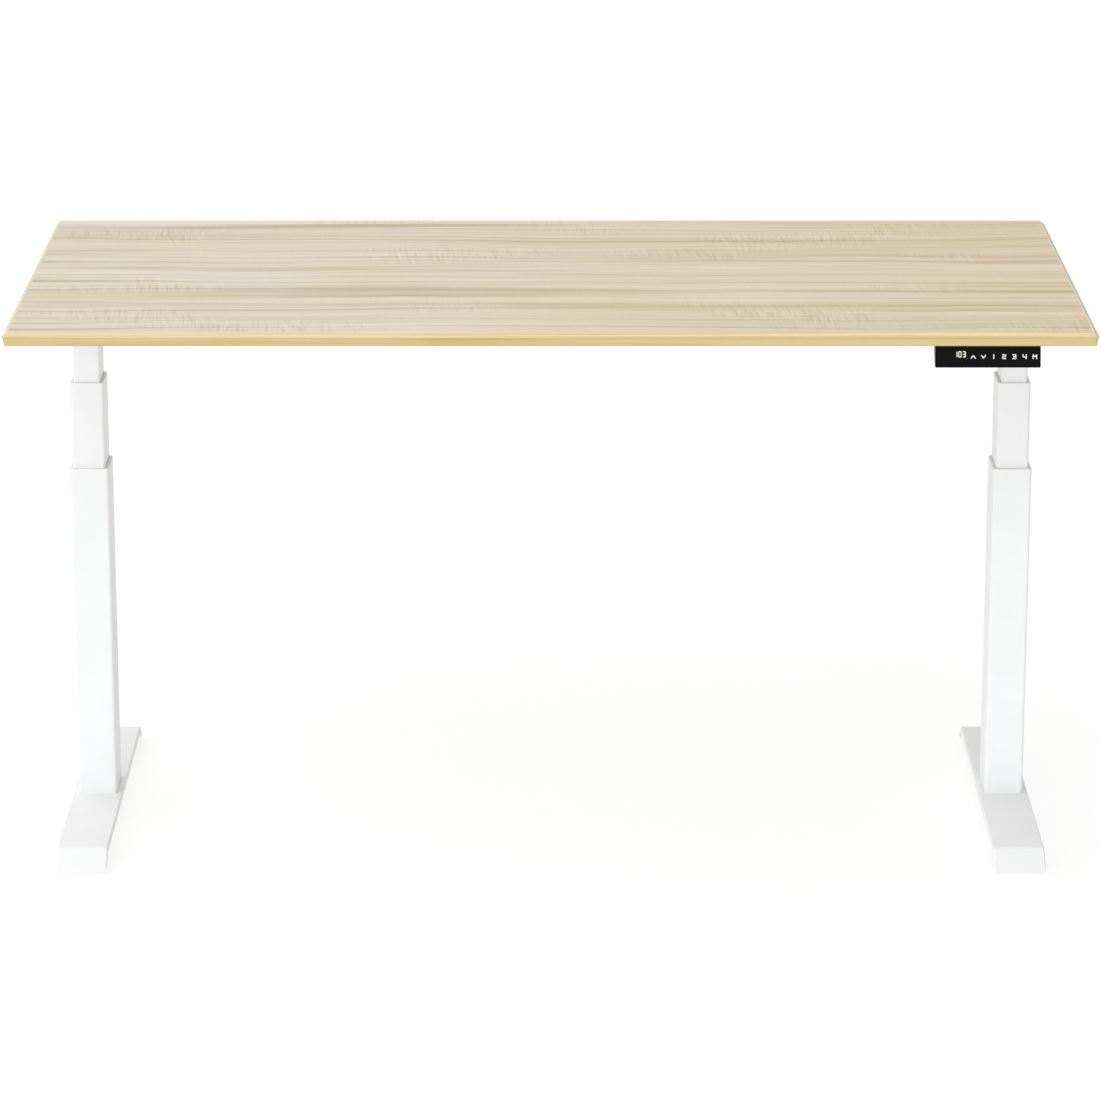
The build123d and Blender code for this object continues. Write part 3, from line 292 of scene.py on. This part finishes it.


def edging_wood():
    """A yellower solid wood, its grain along each strip, with painted shade and a browner tone
    under the facet, a painted shade line at the facet's foot, and darker mitres.
    """
    f = Finish("edging_wood")
    beyond = (abs(f.x) - high.x) - (abs(f.y) - high.y)
    end = beyond > 0.0
    along = f.y * end + f.x * (1.0 - end)
    inward = (high.x - abs(f.x)) * end + (high.y - abs(f.y)) * (1.0 - end)
    wander = f.noise(f.at(along * 1.6, f.z * 20.0, end * 7.0), 1.0) - 0.5
    depth = f.z + inward * 0.8 + wander * 0.006
    band = f.noise(f.at(along * 1.2, depth * 300.0, 1.3 + end), 1.0, 2.0)
    streak = f.noise(f.at(along * 2.6, depth * 520.0, 4.1 + end), 1.0, 3.0, 0.6)
    blush = f.noise(f.at(along * 4.0, depth * 110.0, 6.1 + end), 1.0, 2.0)
    pore = f.noise(f.at(along * 60.0, depth * 2600.0, 8.8), 1.0, 1.0)
    # painted shade, with a browner tone, on the face below the upper facet
    shade_and_tone_below_facet = f.step(f.z, high.z - 0.0075, high.z - 0.0055, 1.0, 0.0)
    # a painted shade line in the crease at the foot of the upper facet
    arris_shade_line = f.step(abs(f.z - (high.z - ARRIS_DEPTH)), 0.0, 0.0016, 1.0, 0.0)
    colour = f.mix(f.step(band, 0.38, 0.62), tint(206, 188, 134), tint(222, 207, 168))
    # darker and browner below the facet: painted shade with a browner tone
    colour = f.mix(shade_and_tone_below_facet * 0.74, colour, tint(195, 176, 119))
    for share, shade in (
        (f.step(streak, 0.46, 0.70) * 0.8, tint(238, 227, 198)),
        (f.step(blush, 0.54, 0.72) * 0.7, tint(249, 238, 214)),
        # painted shade line along the arris
        (arris_shade_line * 0.8, tint(241, 230, 208)),
        (f.step(pore, 0.60, 0.80) * 0.4, tint(222, 208, 170)),
        (f.step(f.z, low_edge + 0.0026, low_edge) * 0.8, tint(232, 232, 218)),
    ):
        colour = f.mix(share, colour, shade, "MULTIPLY")
    pale_end = end * f.step(f.z, high.z - 0.0066, high.z - 0.0050)
    colour = f.mix(pale_end * 0.75, colour, tint(216, 207, 184))
    mitre = f.step(abs(beyond), 0.0, 0.00035, 1.0, 0.0)
    colour = f.mix(mitre * 0.7, colour, tint(150, 120, 72))
    f.relief(pore + streak * 0.5 - mitre, 0.00006, 0.7)
    return f.wear(colour, 0.42 + pore * 0.14)


def powder_coat(paint, shadow):
    """Baked powder: a fine orange peel, with a slightly uneven film."""
    f = Finish("powder_coated_steel")
    film = f.noise(f.point, 14.0, 3.0)
    peel = f.noise(f.point, 900.0, 1.0)
    grit = f.noise(f.point, 2600.0, 1.0)
    colour = f.mix(f.step(film, 0.30, 0.72), shadow, paint)
    colour = f.mix(f.step(grit, 0.66, 0.78) * 0.25, colour, shadow)
    f.relief(peel * 0.7 + grit * 0.3, 0.00006, 0.55)
    return f.wear(colour, 0.34 + peel * 0.10 + film * 0.05)


def moulding(name, light, dark, roughness, grain=1600.0, depth=0.00003):
    """Injection moulded plastic with a fine spark texture."""
    f = Finish(name)
    spark = f.noise(f.point, grain, 2.0, 0.6)
    flow = f.noise(f.point, 30.0, 2.0)
    rub = f.step(f.noise(f.at(f.x * 30.0, f.y * 30.0, f.z * 200.0), 1.0, 2.0), 0.55, 0.75)
    colour = f.mix(f.step(flow, 0.30, 0.70) * 0.6 + f.step(spark, 0.35, 0.70) * 0.4, dark, light)
    f.relief(spark, depth, 0.7)
    return f.wear(colour, roughness + spark * 0.12 - rub * 0.05)


def screw_steel(pitch):
    """A bright turned rod: rolled thread of the given pitch along Z, with traces of grease."""
    f = Finish("screw_steel", Metallic=1.0)
    side = f.node("ShaderNodeMath", {"operation": "SIGN"}, {0: f.x})
    across = {0: f.y - screw_axis.y, 1: f.x - side * screw_axis.x}
    turn = f.node("ShaderNodeMath", {"operation": "ARCTAN2"}, across)
    crest = abs(((f.z / pitch + turn / (2 * pi)) % 1.0) - 0.5)
    grease = f.step(f.noise(f.at(f.x * 80.0, f.y * 80.0, f.z * 22.0), 1.0, 3.0), 0.50, 0.68)
    scratch = f.noise(f.at(f.x * 300.0, f.y * 300.0, f.z * 2400.0), 1.0, 2.0)
    colour = f.mix(scratch, tint(120, 122, 126), tint(196, 198, 200))
    colour = f.mix(grease * 0.35, colour, tint(96, 86, 70))
    f.relief(crest + scratch * 0.15, pitch * 0.18, 0.8)
    return f.wear(colour, 0.24 + scratch * 0.18 + grease * 0.12)


def cast_metal(name, light, dark, roughness):
    """A casting's rough skin, with small pits."""
    f = Finish(name, Metallic=1.0)
    skin = f.noise(f.point, 420.0, 4.0, 0.6)
    cloud = f.noise(f.point, 45.0, 3.0)
    pit = f.step(f.noise(f.point, 1260.0, 1.0), 0.64, 0.74)
    colour = f.mix(f.step(cloud, 0.32, 0.70), tint(*dark), tint(*light))
    colour = f.mix(pit * 0.4, colour, tint(*[c * 0.6 for c in dark]))
    f.relief(skin - pit * 0.6, 0.00010, 0.6)
    return f.wear(colour, roughness + skin * 0.2)


def fastener_steel():
    """Zinc plating, dull in places, with fine scratches."""
    f = Finish("fastener_steel", Metallic=1.0)
    plating = f.noise(f.point, 260.0, 3.0)
    scratch = f.noise(f.at(f.x * 900.0, f.y * 900.0, f.z * 3000.0), 1.0, 2.0)
    colour = f.mix(f.step(plating, 0.32, 0.70), tint(150, 152, 156), tint(206, 207, 206))
    colour = f.mix(f.step(scratch, 0.60, 0.80) * 0.4, colour, tint(110, 112, 118))
    f.relief(scratch, 0.00004, 0.5)
    return f.wear(colour, 0.26 + plating * 0.2)


def motor_can():
    """A drawn steel can in satin black, with a bare band where the end cap is pressed on."""
    f = Finish("motor_can", Metallic=0.35)
    film = f.noise(f.point, 40.0, 3.0)
    rolled = f.noise(f.at(f.x * 700.0, f.y * 40.0, f.z * 40.0), 1.0, 2.0)
    colour = f.mix(f.step(film, 0.30, 0.70), tint(30, 31, 33), tint(46, 47, 50))
    colour = f.mix(f.step(rolled, 0.62, 0.76) * 0.5, colour, tint(74, 75, 78))
    f.relief(rolled * 0.5 + film * 0.5, 0.00005, 0.6)
    return f.wear(colour, 0.36 + film * 0.14)


def worktop_backing():
    """Balancing paper under the worktop: pale, with a faint fibre."""
    f = Finish("worktop_backing")
    fibre = f.noise(f.at(f.x * 60.0, f.y * 900.0, f.z), 1.0, 3.0)
    cloud = f.noise(f.point, 6.0, 3.0)
    colour = f.mix(f.step(cloud, 0.30, 0.70), tint(214, 206, 190), tint(224, 217, 203))
    colour = f.mix(f.step(fibre, 0.58, 0.80) * 0.4, colour, tint(196, 186, 166))
    f.relief(fibre, 0.00004, 0.5)
    return f.wear(colour, 0.52 + fibre * 0.12)


def particle_board():
    """Flat chips of pale and brown wood in dark glue."""
    f = Finish("particle_board")
    place = f.at(f.x * 320.0, f.y * 420.0, f.z * 1400.0)
    chip = f.node("ShaderNodeTexVoronoi", {"feature": "F1"}, {"Vector": place, "Scale": 1.0})
    shade = f.node("ShaderNodeSeparateColor", {}, {0: chip["Color"]})
    dust = f.noise(f.point, 900.0, 2.0)
    colour = f.mix(shade, tint(168, 134, 92), tint(214, 186, 142))
    colour = f.mix(f.step(dust, 0.45, 0.75) * 0.5, colour, tint(132, 98, 62))
    f.relief(chip + dust, 0.00030, 0.8)
    return f.wear(colour, 0.78 + dust * 0.12)


def board_green():
    """Circuit board: solder mask over parallel tracks."""
    f = Finish("board_green")
    lane = abs((f.y * 260.0 + f.step((f.x * 40.0) % 1.0, 0.3, 0.5) * 0.6) % 1.0 - 0.5)
    track = f.step(lane, 0.16, 0.22, 1.0, 0.0) * (f.noise(f.point, 26.0, 1.0) > 0.5)
    colour = f.mix(track, tint(16, 74, 40), tint(44, 116, 62))
    colour = f.mix(f.noise(f.point, 60.0, 2.0) * 0.4, colour, tint(10, 52, 30))
    f.relief(track, 0.00004, 0.8)
    return f.wear(colour, 0.30 + track * 0.10)


def handset_gloss():
    """Piano-black fascia, with the faint smears that fingers leave."""
    f = Finish("handset_gloss", Specular_IOR_Level=0.02)
    smear = f.noise(f.at(f.x * 60.0, f.y * 160.0, f.z * 160.0), 1.0, 3.0, twist=0.6)
    dust = f.step(f.noise(f.point, 2400.0, 1.0), 0.70, 0.80)
    colour = f.mix(dust * 0.4, tint(9, 9, 10), tint(30, 30, 32))
    f.relief(smear, 0.00001, 0.2)
    return f.wear(colour, 0.08 + f.step(smear, 0.45, 0.70) * 0.14 + dust * 0.3)


def display_lens():
    """Smoked window over the digits: a trace of the unlit segments' grid."""
    f = Finish("display_lens", Specular_IOR_Level=0.02)
    grid = f.step(abs((f.x * 900.0) % 1.0 - 0.5), 0.40, 0.48)
    haze = f.noise(f.point, 260.0, 2.0)
    colour = f.mix(grid * 0.4 + haze * 0.3, tint(8, 9, 8), tint(17, 20, 16))
    f.relief(haze, 0.00001, 0.2)
    return f.wear(colour, 0.06 + haze * 0.10)


def lit_digits():
    """Glowing segments, a little brighter at their middle."""
    f = Finish("lit_digits", Emission_Strength=1.3)
    glow = f.noise(f.point, 700.0, 1.0)
    colour = f.mix(f.step(glow, 0.30, 0.70), tint(234, 241, 212), tint(249, 252, 234))
    f.set(f.shader, {"Emission Color": colour})
    return f.wear(f.mix(glow, tint(40, 46, 38), tint(52, 60, 50)), 0.4 + glow * 0.1)


def lit_lens():
    """A small green status light, palest at its middle."""
    f = Finish("lit_lens", Emission_Strength=0.8, Coat_Weight=0.5)
    glow = f.noise(f.point, 1500.0, 1.0)
    f.set(f.shader, {"Emission Color": f.mix(glow, tint(40, 176, 70), tint(96, 226, 120))})
    return f.wear(f.mix(glow, tint(30, 110, 50), tint(44, 140, 66)), 0.20 + glow * 0.10)


def key_ink():
    """White screen print, a little thin in places."""
    f = Finish("key_ink")
    speck = f.noise(f.point, 3200.0, 1.0)
    colour = f.mix(f.step(speck, 0.35, 0.60), tint(222, 224, 224), tint(248, 249, 249))
    f.relief(speck, 0.00001, 0.3)
    return f.wear(colour, 0.42 + speck * 0.12)


def plastic(name, light, dark, *feel):
    """One entry of the table below: a moulding under its own name."""
    return {name: moulding(name, tint(*light), tint(*dark), *feel)}


THREAD_PITCH = 4.0 * MM

finishes = {
    "powder_coated_steel": powder_coat(tint(232, 233, 234), tint(229, 230, 231)),
    "screw_steel": screw_steel(THREAD_PITCH),
    "wheel_bronze": cast_metal("wheel_bronze", (198, 148, 82), (158, 110, 56), 0.28),
    "gearbox_casting": cast_metal("gearbox_casting", (164, 166, 170), (128, 130, 134), 0.40),
    "motor_can": motor_can(),
    "fastener_steel": fastener_steel(),
    "worktop_decor": worktop_decor(),
    "worktop_backing": worktop_backing(),
    "particle_board": particle_board(),
    "edging_wood": edging_wood(),
    "board_green": board_green(),
    "handset_gloss": handset_gloss(),
    "display_lens": display_lens(),
    **plastic("white_moulding", (234, 234, 233), (229, 229, 229), 0.40),
    **plastic("guide_pad_plastic", (232, 228, 216), (214, 208, 192), 0.34),
    **plastic("leveller_plastic", (44, 45, 47), (28, 29, 31), 0.50, 1400.0, 0.00006),
    **plastic("box_plastic", (40, 41, 43), (26, 27, 29), 0.46, 1200.0, 0.00008),
    **plastic("socket_plastic", (30, 30, 32), (18, 18, 20), 0.34),
    **plastic("handset_plastic", (32, 32, 34), (20, 20, 22), 0.38, 1800.0),
}


def dress_frame():
    """Gives each CAD node the finish of its material slot."""
    for node in nodes.values():
        for slot in node.material_slots:
            slot.material = finishes[slot.material.name.split(".")[0]]


# ---------------------------------------------------------------- new pieces
def piece(name, mesh, slot, body="top", material=None):
    """Turns a finished bmesh into an object that rides on a body of the frame."""
    bmesh.ops.remove_doubles(mesh, verts=mesh.verts, dist=1e-6)
    bmesh.ops.recalc_face_normals(mesh, faces=mesh.faces)
    data = bpy.data.meshes.new(name)
    mesh.to_mesh(data)
    mesh.free()
    data.materials.append(material or finishes[slot])
    made = bpy.data.objects.new(name, data)
    scene.collection.objects.link(made)
    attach(made, body)


def bar(mesh, start, end, width, height, round_off):
    """A low raised stroke on the plane z = 0, with softened edges, just short of a square end."""
    run = Vector(end) - Vector(start)
    size = Matrix.Diagonal((run.length + width * 0.9, width, height, 1.0))
    turn = Matrix.Rotation(atan2(run.y, run.x), 4, "Z")
    middle = (Vector(start) + Vector(end)) / 2
    place = Matrix.Translation((middle.x, middle.y, height / 2)) @ turn @ size
    corners = bmesh.ops.create_cube(mesh, size=1.0, matrix=place)["verts"]
    edges = {edge for corner in corners for edge in corner.link_edges}
    bmesh.ops.bevel(
        mesh, geom=list(edges), offset=round_off, offset_type="OFFSET",
        segments=2, profile=0.5, affect="EDGES", material=-1, clamp_overlap=True,
    )


fascia_low, fascia_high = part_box("handset_fascia")
window_low, window_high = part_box("handset_display")
FACE_LEAN, FACE_HEIGHT = 8.0 * MM, 33.0 * MM    # the lower edge of the face is nearer
FACE_TILT = atan2(FACE_LEAN, FACE_HEIGHT)
FACE_OUT = Vector((0.0, -cos(FACE_TILT), sin(FACE_TILT)))
FACE_REACH = max(v.co.dot(FACE_OUT) for v in nodes["handset_fascia"].data.vertices)
MARK_PROUD = 0.12 * MM
MARK_EDGE = 0.03 * MM


def on_face(across, up):
    """A matrix that lays a mark on the leaning face, so far from its left end and lower edge."""
    z = fascia_low.z + up
    face = Vector((fascia_low.x + across, (z * FACE_OUT.z - FACE_REACH) / cos(FACE_TILT), z))
    return Matrix.Translation(face) @ Matrix.Rotation(pi / 2 - FACE_TILT, 4, "X")


SEGMENTS = {
    "a": ((0, 2), (1, 2)), "b": ((1, 1), (1, 2)), "c": ((1, 0), (1, 1)), "d": ((0, 0), (1, 0)),
    "e": ((0, 0), (0, 1)), "f": ((0, 1), (0, 2)), "g": ((0, 1), (1, 1)),
}
DIGITS = {"0": "abcdef", "1": "bc", "3": "abcdg"}
DIGIT_WIDTH = 3.7 * MM
DIGIT_HEIGHT = 7.8 * MM
DIGIT_STROKE = 1.0 * MM
DIGIT_PITCH = 6.1 * MM
DIGIT_FOOT = 15.4 * MM

MARKS = {
    "up": (((0, 0.1), (0.5, 0.8)), ((0.5, 0.8), (1, 0.1))),
    "down": (((0, 0.8), (0.5, 0.1)), ((0.5, 0.1), (1, 0.8))),
    "1": (((0.5, 0), (0.5, 1)),),
    "2": (
        ((0, 1), (1, 1)), ((1, 1), (1, 0.5)), ((0, 0.5), (1, 0.5)), ((0, 0.5), (0, 0)),
        ((0, 0), (1, 0)),
    ),
    "3": (((0, 1), (1, 1)), ((1, 1), (1, 0)), ((0.25, 0.5), (1, 0.5)), ((0, 0), (1, 0))),
    "4": (((0, 1), (0, 0.4)), ((0, 0.4), (1, 0.4)), ((1, 1), (1, 0))),
    "M": (((0, 0), (0, 1)), ((0, 1), (0.5, 0.45)), ((0.5, 0.45), (1, 1)), ((1, 1), (1, 0))),
}
WIDE_MARKS = {"up": 6.0 * MM, "down": 6.0 * MM, "M": 5.2 * MM}
MARK_WIDTH = 4.6 * MM
MARK_PITCH = 15.0 * MM                   # the touch keys are evenly spaced
MARK_MARGIN = 8.7 * MM                   # last key to the right end of the face
MARK_HEIGHT = 5.6 * MM
MARK_STROKE = 1.35 * MM
MARK_FOOT = 13.2 * MM


def make_display_digits():
    """Three digits of seven-segment strokes in the middle of the window."""
    mesh = bmesh.new()
    for count, digit in enumerate("103"):
        for segment in DIGITS[digit]:
            ends = [
                Vector((count * DIGIT_PITCH + x * DIGIT_WIDTH, y * DIGIT_HEIGHT / 2, 0.0))
                for x, y in SEGMENTS[segment]
            ]
            inset = (ends[1] - ends[0]).normalized() * DIGIT_STROKE * 0.60
            bar(mesh, ends[0] + inset, ends[1] - inset, DIGIT_STROKE, MARK_PROUD, MARK_EDGE)
    middle = (window_low.x + window_high.x) / 2 - fascia_low.x
    mesh.transform(on_face(middle - DIGIT_PITCH - DIGIT_WIDTH * 0.55, DIGIT_FOOT))
    piece("display_digits", mesh, "display_lens", material=lit_digits())


def make_key_marks():
    """Two arrows, four numbers and an M, printed on the face from its right end."""
    mesh = bmesh.new()
    last = fascia_high.x - fascia_low.x - MARK_MARGIN
    for count, mark in enumerate(reversed(MARKS)):
        width = WIDE_MARKS.get(mark, MARK_WIDTH)
        left = last - count * MARK_PITCH - width / 2
        for stroke in MARKS[mark]:
            ends = [(left + x * width, y * MARK_HEIGHT, 0.0) for x, y in stroke]
            bar(mesh, ends[0], ends[1], MARK_STROKE, MARK_PROUD, MARK_EDGE)
    mesh.transform(on_face(0.0, MARK_FOOT))
    piece("key_marks", mesh, "handset_gloss", material=key_ink())


WELD_SIZE = 4.2 * MM
WELD_STEP = 2.3 * MM
SEAM_BELOW_PLATE = 5.6 * MM      # where a rail meets the bracket's plate, below its top
RAIL_HALF_WIDTH = 12.6 * MM      # with room for the bead
SEAM_LENGTH = 18.0 * MM
SEAM_MARGIN = 3.0 * MM           # from the plate's edge
NUT_WELD_SIZE = 3.4 * MM
NUT_WELD_GAP = 1.6 * MM          # bead's middle outside the nut
NUT_WELD_DROP = 0.7 * MM         # and under the sheet
NUT_WELD_TURN = 0.20             # radians from one ripple to the next
MOTOR_SCREW_REACH = 13.5 * MM    # each side of the motor's axis
MOTOR_SCREW = (2.9 * MM, 1.9 * MM)    # radius and height of the head
COVER_SCREW = (3.2 * MM, 2.0 * MM)
COVER_SCREW_MARGIN = 12.0 * MM
RIBS = 8                         # each side of the middle one
RIB_PITCH = 8.0 * MM
RIB_REACH = 30.0 * MM
RIB_WIDTH, RIB_HEIGHT, RIB_EDGE = 2.6 * MM, 1.0 * MM, 0.35 * MM
LIGHT_ACROSS = 22.0 * MM
LIGHT_RADIUS = 1.6 * MM


def weld_bead(mesh, path, tip, size):
    """A fillet weld with its ripples, along points between two faces."""
    for count, (start, end) in enumerate(zip(path, path[1:])):
        run = end - start
        wobble = 1.0 + 0.09 * sin(count * 2.3) + 0.05 * sin(count * 5.1)
        stretch = Matrix.Diagonal((size * 0.62, size * 0.5 * wobble, size * 0.36 * wobble, 1.0))
        turn = Vector((1, 0, 0)).rotation_difference(run.normalized()).to_matrix().to_4x4()
        lean = Matrix.Rotation(tip, 4, "X")
        place = Matrix.Translation((start + end) / 2) @ turn @ lean @ stretch
        bmesh.ops.create_icosphere(mesh, subdivisions=2, radius=1.0, matrix=place)


def straight(start, end, step):
    """Points a step apart from start to end."""
    start, end = Vector(start), Vector(end)
    count = max(2, round((end - start).length / step))
    return [start.lerp(end, n / count) for n in range(count + 1)]


def make_rail_welds():
    """A short seam at each end of both flanks of a head bracket's two rails."""
    middle_y = sum(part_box("rear_crossbar"), Vector()).y / 2
    for side, _ in SIDES:
        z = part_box(f"{side}_head_bracket")[1].z - SEAM_BELOW_PLATE
        left, right = (corner.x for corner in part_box(f"{side}_outer_column"))
        mesh = bmesh.new()
        for rail in (-1, 1):
            for flank in (-1, 1):
                y = rail * middle_y + flank * RAIL_HALF_WIDTH
                for x in (left + SEAM_MARGIN, right - SEAM_MARGIN - SEAM_LENGTH):
                    path = straight((x, y, z), (x + SEAM_LENGTH, y, z), WELD_STEP)
                    weld_bead(mesh, path, flank * pi / 4, WELD_SIZE)
        piece(f"{side}_rail_welds", mesh, "powder_coated_steel")


def make_nut_welds():
    """Three short beads round each levelling foot's nut, under the folded sheet."""
    nuts_low, nuts_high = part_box("leveller_nuts")
    reach = (nuts_high.y - nuts_low.y) / 2
    for side, _ in SIDES:
        mesh = bmesh.new()
        for end in ("front", "rear"):
            middle = sum(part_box(f"{side}_{end}_leveller"), Vector()) / 2
            radius = reach - abs(middle.y) + NUT_WELD_GAP
            centre = Vector((middle.x, middle.y, nuts_high.z - NUT_WELD_DROP))
            for arc in range(3):
                angles = [arc * 2 * pi / 3 + pi / 6 + n * NUT_WELD_TURN for n in range(-3, 4)]
                path = [centre + radius * Vector((cos(a), sin(a), 0.0)) for a in angles]
                weld_bead(mesh, path, 0.0, NUT_WELD_SIZE)
        piece(f"{side}_nut_welds", mesh, "powder_coated_steel", "base")


def screw_head(mesh, radius, height, place):
    """A domed head with a six-lobed socket, standing on the plane z = 0 of its place."""
    socket = radius * 0.48
    rounds = [n * pi / 8 for n in range(5)]
    dome = [
        (socket + (radius - socket) * sin(a), height * (0.3 + 0.7 * cos(a))) for a in rounds
    ]
    profile = [(0.0, height * 0.4), (socket, height * 0.4), *dome, (radius, 0.0), (0.0, 0.0)]
    head = bmesh.new()
    points = [head.verts.new((x, 0.0, z)) for x, z in profile]
    lines = [head.edges.new(pair) for pair in zip(points, points[1:])]
    bmesh.ops.spin(
        head, geom=points + lines, axis=(0, 0, 1), cent=(0, 0, 0), angle=2 * pi, steps=36,
        use_merge=True,
    )
    bmesh.ops.remove_doubles(head, verts=head.verts, dist=1e-7)
    for vert in head.verts:
        if vert.co.z > height * 0.3 and vert.co.xy.length < socket * 1.01:
            lobe = 0.89 + 0.11 * cos(6 * atan2(vert.co.y, vert.co.x))
            vert.co.x *= lobe
            vert.co.y *= lobe
    head.transform(place)
    data = bpy.data.meshes.new("screw_head")
    head.to_mesh(data)
    head.free()
    mesh.from_mesh(data)
    bpy.data.meshes.remove(data)


def make_motor_screws():
    """The two long screws that hold each motor's end cap."""
    for side, sign in SIDES:
        motor_low, motor_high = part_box(f"{side}_motor")
        middle = (motor_low + motor_high) / 2
        end_x = min(abs(motor_low.x), abs(motor_high.x)) * sign
        mesh = bmesh.new()
        for flank in (-1, 1):
            seat = Matrix.Translation((end_x, middle.y, middle.z + flank * MOTOR_SCREW_REACH))
            screw_head(mesh, *MOTOR_SCREW, seat @ Matrix.Rotation(-sign * pi / 2, 4, "Y"))
        piece(f"{side}_motor_screws", mesh, "fastener_steel")


def make_control_box_details():
    """Cover screws and stiffening ribs on the box's lower face, a status light on its rear."""
    box_low, box_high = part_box("control_box_base")
    middle = (box_low + box_high) / 2
    below = Vector((middle.x, middle.y, box_low.z))
    upside_down = Matrix.Translation(below) @ Matrix.Rotation(pi, 4, "X")
    reach_x = box_high.x - COVER_SCREW_MARGIN
    reach_y = box_high.y - middle.y - COVER_SCREW_MARGIN
    mesh = bmesh.new()
    for x in (-reach_x, reach_x):
        for y in (-reach_y, reach_y):
            screw_head(mesh, *COVER_SCREW, upside_down @ Matrix.Translation((x, y, 0.0)))
    piece("control_box_screws", mesh, "fastener_steel")

    mesh = bmesh.new()
    for count in range(-RIBS, RIBS + 1):
        start, end = ((count * RIB_PITCH, y, 0.0) for y in (-RIB_REACH, RIB_REACH))
        bar(mesh, start, end, RIB_WIDTH, RIB_HEIGHT, RIB_EDGE)
    mesh.transform(upside_down)
    piece("control_box_ribs", mesh, "box_plastic")

    mesh = bmesh.new()
    seat = Matrix.Translation((LIGHT_ACROSS, box_high.y, middle.z))
    place = seat @ Matrix.Rotation(-pi / 2, 4, "X") @ Matrix.Diagonal((1, 1, 0.5, 1))
    bmesh.ops.create_uvsphere(
        mesh, u_segments=24, v_segments=12, radius=LIGHT_RADIUS, matrix=place,
    )
    piece("status_light", mesh, "display_lens", material=lit_lens())


def make_floor():
    """A plain pale floor that glows a little."""
    mesh = bmesh.new()
    bmesh.ops.create_grid(mesh, x_segments=1, y_segments=1, size=14.0)
    data = bpy.data.meshes.new("studio_floor")
    mesh.to_mesh(data)
    mesh.free()
    f = Finish("pale_floor", Emission_Strength=0.72)
    tone = f.noise(f.point, 0.8, 2.0)
    f.set(f.shader, {"Emission Color": f.mix(tone, tint(254, 254, 254), tint(255, 255, 255))})
    grey = f.mix(tone, tint(138, 138, 138), tint(142, 142, 142))
    data.materials.append(f.wear(grey, 0.8))
    floor = bpy.data.objects.new("studio_floor", data)
    scene.collection.objects.link(floor)


make_camera()
light_studio()
make_floor()
dress_frame()
make_display_digits()
make_key_marks()
make_rail_welds()
make_nut_welds()
make_motor_screws()
make_control_box_details()
